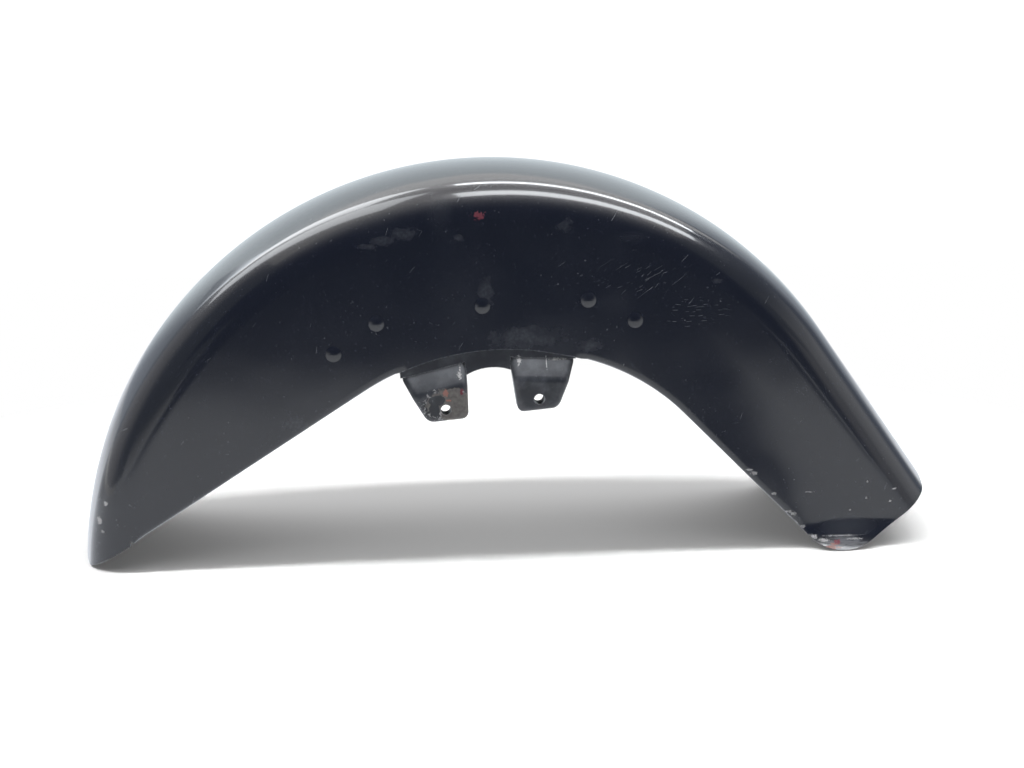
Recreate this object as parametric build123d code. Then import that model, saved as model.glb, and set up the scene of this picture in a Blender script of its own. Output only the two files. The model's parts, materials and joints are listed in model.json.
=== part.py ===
from build123d import *
from math import acos, asin, atan2, cos, degrees, hypot, radians, sin, sqrt, tan
import os

# Front mudguard of a heavy touring motorcycle: a deep pressed-steel skin with a rounded crown and two
# flat side walls, and inside each wall a pressed fork bracket held by five domed rivets.
# Side views are drawn in X and Z about the wheel axle. The nose is towards -X, the tail towards +X,
# and the left side of the machine is -Y. Millimetres and degrees.

# Skin: sheet and cross section
SHEET = 1.5
SKIN_WIDTH = 178.0
CROWN_RADIUS = 370.0
CROSS_RADIUS = 240.0
SHOULDER_RADIUS = 36.0

# Skin: straight tail and its square end
TAIL_SLOPE = 54.2
TAIL_LENGTH = 170.5
TAIL_CORNER_RADIUS = 46.0

# Skin: lower edge of the side walls, as tangent runs from nose to tail, round an arch above the axle
ARCH_RADIUS = 218.3
ARCH_X = 2.5
NOSE_EDGE_SLOPE = 32.8
ARCH_EXIT_SLOPE = 11.2
ARCH_EXIT_RUN = 15.3
TAIL_EDGE_BLEND = 202.0
TAIL_EDGE_SLOPE = 45.1
NOSE_TIP_BLEND = 20.0

# Skin: edge rolled inwards along the walls, and the tail corners turned outwards to a lip
ROLL_RADIUS = 5.0
ROLL_RETURN = 3.0
ROLL_END_CLEARANCE = 4.0
LIP_FLARE = 10.5
LIP_CLEARANCE = 2.0

# Fork bracket: pressed plate, placed by the middle of its two bolt holes
BRACKET_SHEET = 2.5
BRACKET_TILT = 5.2
BRACKET_X = -6.5
BOLT_DROP = 45.7
BOLT_SPACING = 81.0
BOLT_HOLE = 9.0
RIVET_MARGIN = 13.0
WEB_ARCH_RADIUS = 45.0
WEB_ARCH_HEIGHT = 29.9
NOTCH_CLEARANCE = 1.5

# Fork bracket: hollow lugs, their sides measured from the bolt hole, with a collar inside each
LUG_REACH = 12.0
LUG_IN_TOP = 21.9
LUG_IN_FOOT = 19.0
LUG_OUT_TOP = 35.7
LUG_OUT_FOOT = 16.2
LUG_FOOT_MARGIN = 4.5
LUG_FOOT_ROUND = 10.0
LUG_EDGE_RADIUS = 4.0
LEDGE_CLEARANCE = 1.4
LEDGE_DROP = 16.0
LEDGE_TILT = 8.0
LEDGE_BEND = 9.0
COLLAR_WALL = 2.0

# Rivets: places along the bracket's own axes, and their form
RIVET_TOP = 84.9
RIVET_SHOULDER_OUT = 91.3
RIVET_SHOULDER_UP = 79.9
RIVET_TIP_OUT = 130.4
RIVET_TIP_UP = 57.4
RIVET_HEAD = 13.0
RIVET_HEAD_HEIGHT = 1.8
RIVET_SHANK = 6.0
RIVET_TAIL = 9.6
RIVET_TAIL_HEIGHT = 2.8
RIVET_CLEARANCE = 0.1

# Length that a cutting tool runs past the piece it cuts
OVERRUN = 30.0
# Least share of a face's normal along local Z for the face to count as a front
FRONT_SHARE = 0.1


def ray(angle, length=1.0):
    """Side-view point at an angle from +X and a distance from the axle."""
    return (length * cos(radians(angle)), length * sin(radians(angle)))


def meet(first, second):
    """Side-view point where two lines cross, each given as (angle of its normal, offset)."""
    (angle_1, offset_1), (angle_2, offset_2) = first, second
    turn = sin(radians(angle_2 - angle_1))
    normal_1, normal_2 = ray(angle_1), ray(angle_2)
    x = (offset_1 * normal_2[1] - offset_2 * normal_1[1]) / turn
    z = (offset_2 * normal_1[0] - offset_1 * normal_2[0]) / turn
    return (x, z)


# Values that follow from the driving dimensions
half_width = SKIN_WIDTH / 2
wall_inside = half_width - SHEET
crown_drop = CROSS_RADIUS - sqrt(
    (CROSS_RADIUS - SHOULDER_RADIUS) ** 2 - (half_width - SHOULDER_RADIUS) ** 2
)
tail_turn = 90 - TAIL_SLOPE
tail_out = ray(tail_turn)
tail_along = ray(-TAIL_SLOPE)



def arch_line(angle, distance):
    """Side-view line at a distance from the arch's centre, as (angle of its normal, offset)."""
    return (angle, distance + ARCH_X * ray(angle)[0])


# The blend between arch and tail edge turns by the difference of their slopes, so the tail edge's
# distance from the arch's centre follows from the run before it.
blend_turn = TAIL_EDGE_SLOPE - ARCH_EXIT_SLOPE
blend_run = TAIL_EDGE_BLEND * tan(radians(blend_turn / 2))
edge_reach = ARCH_EXIT_RUN + blend_run
tail_edge_reach = ARCH_RADIUS * cos(radians(blend_turn)) + edge_reach * sin(radians(blend_turn))
nose_edge = arch_line(90 + NOSE_EDGE_SLOPE, ARCH_RADIUS)
arch_exit = arch_line(90 - ARCH_EXIT_SLOPE, ARCH_RADIUS)
tail_edge = arch_line(90 - TAIL_EDGE_SLOPE, tail_edge_reach)
tail_end = (-TAIL_SLOPE, TAIL_LENGTH)


def moved(line, distance):
    """The same side-view line, further from the axle."""
    return (line[0], line[1] + distance)


def on_tail(depth, run):
    """Side-view point at a depth below the crown and a distance along the straight tail."""
    reach = CROWN_RADIUS - depth
    return (
        reach * tail_out[0] + run * tail_along[0],
        reach * tail_out[1] + run * tail_along[1],
    )


corner_centre = meet(moved(tail_edge, TAIL_CORNER_RADIUS), moved(tail_end, -TAIL_CORNER_RADIUS))
floor = corner_centre[1] - TAIL_CORNER_RADIUS
lip_top = on_tail(crown_drop + LIP_CLEARANCE, TAIL_LENGTH)[1]
lip_drop = lip_top - floor
nose_end_angle = nose_edge[0] + degrees(acos(nose_edge[1] / CROWN_RADIUS))

# The part stands on the floor, with its origin under the middle of its length.
nose_z = max(floor, ray(nose_end_angle, CROWN_RADIUS)[1])
nose_x = -sqrt(CROWN_RADIUS**2 - nose_z**2)
tail_x = on_tail(0, TAIL_LENGTH)[0]
TO_FLOOR = Pos(-(nose_x + tail_x) / 2, 0, -floor)

# The bracket is drawn on the inside of the left wall: local X towards the tail, local Y up the wall,
# local Z outwards, from the middle of the bolt holes.
bracket_z = ARCH_RADIUS - BOLT_DROP
bracket_along = ray(BRACKET_TILT)
bracket_plane = Plane(
    origin=(BRACKET_X, -wall_inside, bracket_z),
    x_dir=(bracket_along[0], 0, bracket_along[1]),
    z_dir=(0, -1, 0),
)
bolt_places = [-BOLT_SPACING / 2, BOLT_SPACING / 2]
rivet_places = [(0.0, RIVET_TOP)]
for out, up in ((RIVET_SHOULDER_OUT, RIVET_SHOULDER_UP), (RIVET_TIP_OUT, RIVET_TIP_UP)):
    rivet_places += [(-out, up), (out, up)]

collar_radius = BOLT_HOLE / 2 + COLLAR_WALL
lug_foot = -(collar_radius + LUG_FOOT_MARGIN)
lug_in_top = BOLT_SPACING / 2 - LUG_IN_TOP
lug_in_foot = BOLT_SPACING / 2 - LUG_IN_FOOT
lug_out_top = BOLT_SPACING / 2 + LUG_OUT_TOP
lug_out_foot = BOLT_SPACING / 2 + LUG_OUT_FOOT

# The ledge of a lug starts just below the wall's edge, which is lowest over its tail-side corner.
exit_lean = arch_exit[0] - BRACKET_TILT
exit_offset = arch_exit[1] - BRACKET_X * ray(arch_exit[0])[0] - bracket_z * ray(arch_exit[0])[1]
wall_edge = (exit_offset - lug_out_top * ray(exit_lean)[0]) / ray(exit_lean)[1]
ledge_out_top = wall_edge - LEDGE_CLEARANCE
ledge_top = ledge_out_top + (lug_out_top - lug_in_top) * tan(radians(LEDGE_TILT))

# Sides of the tail-side lug, each from its foot to its end of the ledge
lug_in = ((lug_in_foot, lug_foot), (lug_in_top, ledge_top))
lug_out = ((lug_out_foot, lug_foot), (lug_out_top, ledge_out_top))


def right_side(shape):
    """The right-hand copy of a left-hand shape."""
    return mirror(shape, about=Plane.XZ)


def section_plane(angle):
    """Plane across the skin at an angle round the axle: local X is +Y, local Y points outwards."""
    outwards = ray(angle)
    return Plane(origin=(0, 0, 0), x_dir=(0, 1, 0), z_dir=(outwards[1], 0, -outwards[0]))


def filled_section(inset):
    """Cross section filled from wall to wall, its outline moved in by the inset."""
    side = half_width - inset
    top = CROWN_RADIUS - inset
    foot = ARCH_RADIUS / 2
    cross_centre = CROWN_RADIUS - CROSS_RADIUS
    shoulder_y = half_width - SHOULDER_RADIUS
    shoulder_z = CROWN_RADIUS - crown_drop
    lean = atan2(shoulder_y, shoulder_z - cross_centre)
    reach = CROSS_RADIUS - inset
    bend_y = reach * sin(lean)
    bend_z = cross_centre + reach * cos(lean)
    mid = SHOULDER_RADIUS - inset
    mid_angle = (lean + radians(90)) / 2
    mid_y = shoulder_y + mid * sin(mid_angle)
    mid_z = shoulder_z + mid * cos(mid_angle)
    crown = ThreePointArc((-bend_y, bend_z), (0, top), (bend_y, bend_z))
    right = ThreePointArc((bend_y, bend_z), (mid_y, mid_z), (side, shoulder_z))
    left = ThreePointArc((-side, shoulder_z), (-mid_y, mid_z), (-bend_y, bend_z))
    walls = Polyline((side, shoulder_z), (side, foot), (-side, foot), (-side, shoulder_z))
    return make_face(Curve() + [left, crown, right, walls])


def envelope(inset):
    """Solid inside the skin's outline: turned about the axle from the nose, then straight to the tail."""
    face = filled_section(inset)
    start = nose_end_angle + degrees(OVERRUN / CROWN_RADIUS)
    axle = Axis((0, 0, 0), (0, 1, 0))
    turned = revolve(section_plane(start) * face, axis=axle, revolution_arc=start - tail_turn)
    straight = extrude(section_plane(tail_turn) * face, amount=TAIL_LENGTH + OVERRUN)
    return turned + straight


def side_outline():
    """Solid that keeps what lies above the lower edge and before the tail's square end."""
    nose_foot = meet(nose_edge, (90, floor))
    left = min(nose_foot[0], -CROWN_RADIUS) - OVERRUN
    top = CROWN_RADIUS + OVERRUN
    end = on_tail(-OVERRUN, TAIL_LENGTH)
    edge = FilletPolyline(
        (left, floor),
        nose_foot,
        meet(nose_edge, arch_exit),
        meet(arch_exit, tail_edge),
        meet(tail_edge, tail_end),
        end,
        radius=[NOSE_TIP_BLEND, ARCH_RADIUS, TAIL_EDGE_BLEND, TAIL_CORNER_RADIUS],
    )
    around = Polyline(end, (end[0], top), (left, top), (left, floor))
    face = Plane.XZ * make_face(Curve() + [edge, around])
    return extrude(face, amount=SKIN_WIDTH, both=True)


def edge_plane(point, angle):
    """Plane across the lower edge of the left wall: local X points inside, local Y off the edge."""
    off = ray(angle + 180)
    return Plane(
        origin=(point[0], -half_width, point[1]),
        x_dir=(0, 1, 0),
        z_dir=(off[1], 0, -off[0]),
    )


def along_lower_edge(profile):
    """The profile carried along the left wall's lower edge, from the nose to the top of the lip."""
    wall_reach = CROWN_RADIUS - crown_drop - ROLL_END_CLEARANCE
    nose_run = sqrt(wall_reach**2 - nose_edge[1] ** 2) + ARCH_X * ray(nose_edge[0])[1]
    arch_arm = ray(nose_edge[0], ARCH_RADIUS)
    arch_start = (ARCH_X + arch_arm[0], arch_arm[1])
    corner = meet(arch_exit, tail_edge)
    blend_centre = meet(moved(arch_exit, -TAIL_EDGE_BLEND), moved(tail_edge, -TAIL_EDGE_BLEND))
    blend_arm = ray(arch_exit[0], TAIL_EDGE_BLEND)
    blend_start = (blend_centre[0] + blend_arm[0], blend_centre[1] + blend_arm[1])
    last = meet(moved(tail_edge, ROLL_RADIUS), (90, lip_top + ROLL_END_CLEARANCE))
    square = ray(tail_edge[0], -ROLL_RADIUS)
    tail_stop = (last[0] + square[0], last[1] + square[1])
    tail_run = hypot(tail_stop[0] - corner[0], tail_stop[1] - corner[1]) - blend_run
    arch_axis = Axis((ARCH_X, 0, 0), (0, 1, 0))
    blend_axis = Axis((blend_centre[0], 0, blend_centre[1]), (0, 1, 0))
    arch_turn = nose_edge[0] - arch_exit[0]
    return (
        extrude(edge_plane(arch_start, nose_edge[0]) * profile, amount=nose_run)
        + revolve(edge_plane(arch_start, nose_edge[0]) * profile, axis=arch_axis, revolution_arc=arch_turn)
        + extrude(edge_plane(blend_start, arch_exit[0]) * profile, amount=ARCH_EXIT_RUN)
        + revolve(edge_plane(blend_start, arch_exit[0]) * profile, axis=blend_axis, revolution_arc=blend_turn)
        + extrude(edge_plane(tail_stop, tail_edge[0]) * profile, amount=tail_run)
    )


def roll_profile():
    """Quarter turn from the wall to the inside, with a short flat return."""
    inner = ROLL_RADIUS - SHEET
    end = ROLL_RADIUS + ROLL_RETURN
    middle = sin(radians(45))
    outside = ThreePointArc(
        (0, -ROLL_RADIUS),
        (ROLL_RADIUS * (1 - middle), -ROLL_RADIUS * (1 - middle)),
        (ROLL_RADIUS, 0),
    )
    rim = Polyline((ROLL_RADIUS, 0), (end, 0), (end, -SHEET), (ROLL_RADIUS, -SHEET))
    inside = ThreePointArc(
        (ROLL_RADIUS, -SHEET),
        (ROLL_RADIUS - inner * middle, -ROLL_RADIUS + inner * middle),
        (SHEET, -ROLL_RADIUS),
    )
    seam = Line((SHEET, -ROLL_RADIUS), (0, -ROLL_RADIUS))
    return make_face(Curve() + [outside, rim, inside, seam])


def roll_strip_profile():
    """Strip of flat wall that the roll takes the place of."""
    return Pos(SHEET / 2, 0) * Rectangle(3 * SHEET, 2 * ROLL_RADIUS)


def bracket_notch():
    """Block where the bracket hangs below the wall, and the edge stays flat."""
    width = 2 * (lug_out_top + NOTCH_CLEARANCE)
    return bracket_plane * Box(width, 2 * ARCH_RADIUS, SKIN_WIDTH)


def tail_lip():
    """Left tail corner below the bend: the wall turned outwards in a smooth curve."""
    middle = Plane(origin=(0, SHEET / 2 - half_width, lip_top), x_dir=(0, 1, 0), z_dir=(1, 0, 0))
    curve = Bezier((0, 0), (0, -lip_drop / 2), (-LIP_FLARE, -lip_drop))
    run_out = Line(curve @ 1, curve @ 1 + (curve % 1) * OVERRUN)
    return extrude(middle * trace([curve, run_out], SHEET), amount=tail_x) & side_outline()


def below_bend():
    """Flat wall below the bend line of the tail lips."""
    deep = 2 * lip_drop
    return Pos(tail_x / 2, 0, lip_top - deep / 2) * Box(tail_x, 2 * SKIN_WIDTH, deep)


def at_rivets(shape):
    """A left-hand shape drawn on the bracket's face, repeated at the five rivets."""
    return [bracket_plane * (Pos(x, y, 0) * shape) for x, y in rivet_places]


def fender_skin():
    """Skin of one sheet: crown, walls, rolled lower edges and tail lips."""
    skin = (envelope(0) - envelope(SHEET)) & side_outline()
    strip = along_lower_edge(roll_strip_profile()) - bracket_notch()
    roll = along_lower_edge(roll_profile()) - bracket_notch()
    lip = tail_lip()
    skin = skin - strip - right_side(strip) - below_bend()
    skin = skin + roll + right_side(roll) + lip + right_side(lip)
    drill = Cylinder(RIVET_SHANK / 2 + RIVET_CLEARANCE, OVERRUN)
    holes = at_rivets(drill)
    return skin - holes - [right_side(hole) for hole in holes]


def lug_side(side, height):
    """Point at a height on a side of the tail-side lug, or on the side's line beyond its ends."""
    (foot_x, foot_y), (top_x, top_y) = side
    return (foot_x + (top_x - foot_x) * (height - foot_y) / (top_y - foot_y), height)


def lug_outline(inset):
    """Front outline of the tail-side lug, or of its hollow, which is moved in and open at the foot."""
    top = ledge_top + OVERRUN
    foot = lug_foot - OVERRUN if inset else lug_foot
    sides = FilletPolyline(
        lug_side(lug_in, top),
        lug_side(lug_in, foot),
        lug_side(lug_out, foot),
        lug_side(lug_out, top),
        radius=[LUG_EDGE_RADIUS + BRACKET_SHEET, LUG_FOOT_ROUND],
    )
    face = make_face(Curve() + [sides, Line(sides @ 1, sides @ 0)])
    return offset(face, amount=-inset) if inset else face


def lug_block(inset):
    """Solid lug: a sloping ledge that runs out to an upright pad, with rounded front edges."""
    reach = LUG_REACH - inset
    lower = inset * (hypot(LUG_REACH, LEDGE_DROP) - LEDGE_DROP) / LUG_REACH
    back = -BRACKET_SHEET - inset
    down = ledge_top - lug_foot + 2 * OVERRUN
    start = LEDGE_DROP * back / LUG_REACH
    side = FilletPolyline(
        (-inset * hypot(LUG_REACH, LEDGE_DROP) / LUG_REACH - start, back),
        (-LEDGE_DROP - lower, reach),
        (-down, reach),
        radius=LEDGE_BEND - inset,
    )
    face = make_face(Curve() + [side, Polyline(side @ 1, (-down, back), side @ 0)])
    ledge = Plane(
        origin=(lug_in_top, ledge_top, 0),
        x_dir=(sin(radians(LEDGE_TILT)), cos(radians(LEDGE_TILT)), 0),
        z_dir=(cos(radians(LEDGE_TILT)), -sin(radians(LEDGE_TILT)), 0),
    )
    bar = extrude(ledge * face, amount=2 * lug_out_top, both=True)
    block = bar & extrude(lug_outline(inset), amount=LUG_REACH + OVERRUN, both=True)
    fronts = [f for f in block.faces() if f.normal_at().Z > FRONT_SHARE]
    others = [e for f in block.faces() if f.normal_at().Z < FRONT_SHARE for e in f.edges()]
    edges = [e for f in fronts for e in f.edges() if e.center().Z > 0]
    rims = [e for e in edges if any(e.is_same(o) for o in others)]
    return fillet(rims, LUG_EDGE_RADIUS + BRACKET_SHEET / 2 - inset)


def fork_bracket():
    """Left bracket: a winged plate against the inside of the wall, and two lugs below its edge."""
    rims = [edge for x, y in rivet_places for edge in (Pos(x, y) * Circle(RIVET_MARGIN)).edges()]
    wings = make_hull(rims)
    web = lug_in_top + BRACKET_SHEET / 2
    trunk = make_face(
        Polyline(
            (-lug_out_top, RIVET_TIP_UP),
            (-lug_out_top, ledge_out_top),
            (-web, ledge_top),
            (-web, 0),
            (web, 0),
            (web, ledge_top),
            (lug_out_top, ledge_out_top),
            (lug_out_top, RIVET_TIP_UP),
            close=True,
        )
    )
    arch = Pos(0, WEB_ARCH_HEIGHT - WEB_ARCH_RADIUS) * Circle(WEB_ARCH_RADIUS)
    plate = extrude(wings + (trunk - arch), amount=-BRACKET_SHEET)
    lug, hollow = lug_block(0), lug_block(BRACKET_SHEET)
    bracket = plate + lug + mirror(lug, about=Plane.YZ)
    bracket = bracket - hollow - mirror(hollow, about=Plane.YZ)
    for x in bolt_places:
        bracket -= Pos(x, 0, LUG_REACH) * Cylinder(BOLT_HOLE / 2, OVERRUN)
    for x, y in rivet_places:
        bracket -= Pos(x, y, 0) * Cylinder(RIVET_SHANK / 2 + RIVET_CLEARANCE, OVERRUN)
    return bracket_plane * bracket


def mount_collars():
    """Plain collars behind the two bolt holes of the left bracket, bored like the holes."""
    length = LUG_REACH - BRACKET_SHEET
    ring = Circle(collar_radius) - Circle(BOLT_HOLE / 2)
    collar = extrude(ring, amount=length)
    return [bracket_plane * (Pos(x, 0, 0) * collar) for x in bolt_places]


def rivet():
    """Domed rivet set through wall and bracket: outer head, shank and the tail set inside."""
    grip_out = SHEET
    grip_in = -BRACKET_SHEET
    head = RIVET_HEAD / 2
    tail = RIVET_TAIL / 2
    shank = RIVET_SHANK / 2
    dome_radius = (head**2 + RIVET_HEAD_HEIGHT**2) / (2 * RIVET_HEAD_HEIGHT)
    mid = asin(head / dome_radius) / 2
    crest = grip_out + RIVET_HEAD_HEIGHT
    dome = ThreePointArc(
        (0, crest),
        (dome_radius * sin(mid), crest - dome_radius * (1 - cos(mid))),
        (head, grip_out),
    )
    rest = Polyline(
        (head, grip_out),
        (shank, grip_out),
        (shank, grip_in),
        (tail, grip_in),
        (tail, grip_in - RIVET_TAIL_HEIGHT),
        (0, grip_in - RIVET_TAIL_HEIGHT),
        (0, crest),
    )
    return revolve(Plane.XZ * make_face(Curve() + [dome, rest]), axis=Axis.Z)


def save(name, shapes):
    """Sets the shapes down on the floor and writes them as one named node."""
    placed = [TO_FLOOR * shape for shape in shapes]
    whole = placed[0] if len(placed) == 1 else Compound(children=placed)
    export_step(whole, f"parts/{name}.step")
    low, high = whole.bounding_box().min, whole.bounding_box().max
    print(name, len(whole.solids()), "solids", [round(v, 1) for v in (*low, *high)])


os.makedirs("parts", exist_ok=True)
save("fender_skin", [fender_skin()])
left_bracket = fork_bracket()
left_collars = mount_collars()
left_rivets = at_rivets(rivet())
save("left_fork_bracket", [left_bracket])
save("right_fork_bracket", [right_side(left_bracket)])
save("left_mount_collars", left_collars)
save("right_mount_collars", [right_side(collar) for collar in left_collars])
save("left_rivets", left_rivets)
save("right_rivets", [right_side(one) for one in left_rivets])
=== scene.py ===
# %% [markdown]
# # A worn front mudguard
#
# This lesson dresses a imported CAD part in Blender. The part is the front mudguard of a heavy touring
# motorcycle: one pressed sheet of steel, two fork brackets inside it, the rivets that hold them, and a
# collar behind each bolt hole. The CAD model is loaded first and stays where it is. Everything made here is
# in metres, in the same frame.

import json
import math

import bmesh
import bpy
from mathutils import Matrix, Vector


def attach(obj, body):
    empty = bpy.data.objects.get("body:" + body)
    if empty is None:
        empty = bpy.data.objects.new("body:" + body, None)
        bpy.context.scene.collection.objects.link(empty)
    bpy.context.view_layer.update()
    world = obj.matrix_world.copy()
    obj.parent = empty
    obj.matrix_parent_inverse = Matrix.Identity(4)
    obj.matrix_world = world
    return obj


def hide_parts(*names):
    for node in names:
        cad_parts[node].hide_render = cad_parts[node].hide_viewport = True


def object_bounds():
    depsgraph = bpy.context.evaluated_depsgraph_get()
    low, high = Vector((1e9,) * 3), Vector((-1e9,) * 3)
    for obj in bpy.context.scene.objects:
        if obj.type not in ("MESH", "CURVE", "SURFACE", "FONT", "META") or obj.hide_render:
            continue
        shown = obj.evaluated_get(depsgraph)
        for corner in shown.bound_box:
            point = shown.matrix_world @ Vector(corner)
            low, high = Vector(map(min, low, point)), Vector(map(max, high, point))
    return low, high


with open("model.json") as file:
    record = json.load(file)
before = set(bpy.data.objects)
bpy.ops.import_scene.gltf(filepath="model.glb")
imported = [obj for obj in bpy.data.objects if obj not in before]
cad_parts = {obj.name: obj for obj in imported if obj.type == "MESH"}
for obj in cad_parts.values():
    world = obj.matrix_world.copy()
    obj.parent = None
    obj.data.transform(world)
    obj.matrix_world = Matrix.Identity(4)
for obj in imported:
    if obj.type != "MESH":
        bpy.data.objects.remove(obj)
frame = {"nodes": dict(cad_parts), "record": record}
CAD_LOW, CAD_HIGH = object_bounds()
scene = bpy.context.scene
scene.view_settings.view_transform = "Standard"
print("CAD box", [round(v, 4) for v in (*CAD_LOW, *CAD_HIGH)])

# %% [markdown]
# ## The camera
#
# The photograph was taken from the machine's left side, a little towards the nose, looking down.
# A camera is easiest to aim with two angles: a yaw about the vertical and a pitch below the horizon.
# The lens follows from the width of the view, so it is written as an angle and turned into millimetres.

# %% Place the camera
CAMERA_PLACE = Vector((-0.1491, -1.491, 0.5487))
CAMERA_YAW = math.radians(5.9)
CAMERA_PITCH = math.radians(15.35)
VIEW_WIDTH = math.radians(33.7)
SENSOR_WIDTH = 36.0

camera_data = bpy.data.cameras.new("camera")
camera_data.sensor_fit = "HORIZONTAL"
camera_data.sensor_width = SENSOR_WIDTH
camera_data.lens = SENSOR_WIDTH / 2 / math.tan(VIEW_WIDTH / 2)
camera = bpy.data.objects.new("camera", camera_data)
scene.collection.objects.link(camera)
sight = Vector((
    math.sin(CAMERA_YAW) * math.cos(CAMERA_PITCH),
    math.cos(CAMERA_YAW) * math.cos(CAMERA_PITCH),
    -math.sin(CAMERA_PITCH),
))
camera.location = CAMERA_PLACE
camera.rotation_euler = sight.to_track_quat("-Z", "Y").to_euler()
scene.camera = camera
print("lens", round(camera_data.lens, 2), "mm")

# %% [markdown]
# ## The side view of the sheet
#
# Seen from the side, the crown is an arc about the wheel axle that runs on into a straight tail.
# The lower edge is a chain of straight runs and arcs that touch each other. Angles are measured at the
# axle, from the tail direction upwards. The axle itself isn't part of the object, so its place is worked
# out from the CAD box: the crown's top is one radius above it.

# %% Sizes of the sheet
SHEET = 0.0015
HALF_WIDTH = 0.089
CROWN_RADIUS = 0.370
CROSS_RADIUS = 0.240
SHOULDER_RADIUS = 0.036
TAIL_SLOPE = 54.2
TAIL_LENGTH = 0.1705
TAIL_CORNER_RADIUS = 0.046
ARCH_RADIUS = 0.2183
ARCH_X = 0.0025
NOSE_EDGE_SLOPE = 32.8
ARCH_EXIT_SLOPE = 11.2
ARCH_EXIT_RUN = 0.0153
TAIL_EDGE_BLEND = 0.202
TAIL_EDGE_SLOPE = 45.1


def ray(angle, length=1.0):
    """Side-view vector at an angle in degrees from the tail direction."""
    return Vector((length * math.cos(math.radians(angle)), 0, length * math.sin(math.radians(angle))))


tail_turn = 90 - TAIL_SLOPE
tail_reach = ray(tail_turn, CROWN_RADIUS) + ray(-TAIL_SLOPE, TAIL_LENGTH)
AXLE = Vector((CAD_HIGH.x - tail_reach.x, 0, CAD_HIGH.z - CROWN_RADIUS))
shoulder_y = HALF_WIDTH - SHOULDER_RADIUS
shoulder_rise = math.sqrt((CROSS_RADIUS - SHOULDER_RADIUS) ** 2 - shoulder_y**2)
WALL_TOP = CROWN_RADIUS - CROSS_RADIUS + shoulder_rise
lean = math.atan2(shoulder_y, shoulder_rise)
nose_normal = 90 + NOSE_EDGE_SLOPE
exit_normal = 90 - ARCH_EXIT_SLOPE
ARCH_CENTRE = AXLE + Vector((ARCH_X, 0, 0))
arch_start = ARCH_CENTRE + ray(nose_normal, ARCH_RADIUS)
nose_reach = (arch_start - AXLE).dot(ray(nose_normal))
print("axle", [round(v, 4) for v in AXLE], "wall top", round(WALL_TOP, 4))

# %% [markdown]
# ## Crown and shoulders
#
# A press forms the crown and its rounded shoulders in one sweep round the wheel, so here a half section
# is swept the same way. Spin turns one vertex into the crown's flat arc, then into the tighter shoulder.
# A second spin carries that section round the axle, and extrusions carry it down the straight tail.
# The steps are small because gloss paint shows every facet in its reflections. The mesh also gets a
# number on each vertex for wear along its edges, which a material can read later. That layer is made
# before anything else, because a new layer would lose hold of vertices that are already there.

# %% Sweep the half section
CROWN_STEPS = 10
SHOULDER_STEPS = 20
TAIL_STEPS = 8
SPIN_STEP = 1.2
NOSE_SPARE = 3.0
SAME_POINT = 1e-6
CLOSE_POINT = 1e-5


def last_of(result, kind):
    """Verts or edges at the far end of a spin."""
    return [g for g in result["geom_last"] if isinstance(g, kind)]


def spin_on(bm, geom, centre, axis, angle, steps, merge=False):
    """Spins verts or edges about an axis, and merges the ends of a full turn if asked to."""
    return bmesh.ops.spin(
        bm, geom=geom, cent=centre, axis=axis, angle=angle, steps=steps, use_merge=merge, use_duplicate=False
    )


def extrude_row(bm, edges):
    """Extrudes edges in place, and returns the new verts and the new edges between them."""
    made = bmesh.ops.extrude_edge_only(bm, edges=edges)["geom"]
    verts = [g for g in made if isinstance(g, bmesh.types.BMVert)]
    fresh = set(verts)
    return verts, [g for g in made if isinstance(g, bmesh.types.BMEdge) and fresh.issuperset(g.verts)]


skin = bmesh.new()
wear_layer = skin.verts.layers.float.new("edge_wear")
top = skin.verts.new(AXLE + Vector((0, 0, CROWN_RADIUS)))
cross_centre = AXLE + Vector((0, 0, CROWN_RADIUS - CROSS_RADIUS))
shoulder_centre = AXLE + Vector((0, -shoulder_y, WALL_TOP))
crown_arc = spin_on(skin, [top], cross_centre, (1, 0, 0), lean, CROWN_STEPS)
bend = last_of(crown_arc, bmesh.types.BMVert)
spin_on(skin, bend, shoulder_centre, (1, 0, 0), math.radians(90) - lean, SHOULDER_STEPS)

nose_wall_angle = nose_normal + math.degrees(math.acos(nose_reach / WALL_TOP))
nose_crown_angle = nose_normal + math.degrees(math.acos(nose_reach / CROWN_RADIUS)) + NOSE_SPARE
bmesh.ops.rotate(
    skin, verts=skin.verts[:], cent=AXLE, matrix=Matrix.Rotation(math.radians(90 - nose_crown_angle), 3, "Y")
)
section = skin.edges[:]
angle = nose_crown_angle
for stop in (nose_wall_angle, nose_normal, exit_normal, tail_turn):
    steps = max(2, round((angle - stop) / SPIN_STEP))
    turned = spin_on(skin, section, AXLE, (0, 1, 0), math.radians(angle - stop), steps)
    section = last_of(turned, bmesh.types.BMEdge)
    angle = stop
for step in range(TAIL_STEPS):
    verts, section = extrude_row(skin, section)
    bmesh.ops.translate(skin, verts=verts, vec=ray(-TAIL_SLOPE, TAIL_LENGTH / TAIL_STEPS))
bmesh.ops.remove_doubles(skin, verts=skin.verts[:], dist=SAME_POINT)
print("crown and shoulder", len(skin.faces), "faces, section", len(section), "edges")

# %% [markdown]
# ## The nose cut
#
# The nose is cut off in one straight line, and its tip is trimmed level with the floor it stands on.
# A bisect with one side cleared does both. It only gets the faces near the nose, because the same plane
# would also cut the tail.

# %% Cut the nose
NOSE_REACH = 0.25


def with_parts(faces):
    """Faces together with their edges and verts, as a cut needs them."""
    parts = set(faces)
    for f in faces:
        parts.update(f.edges)
        parts.update(f.verts)
    return list(parts)


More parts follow.
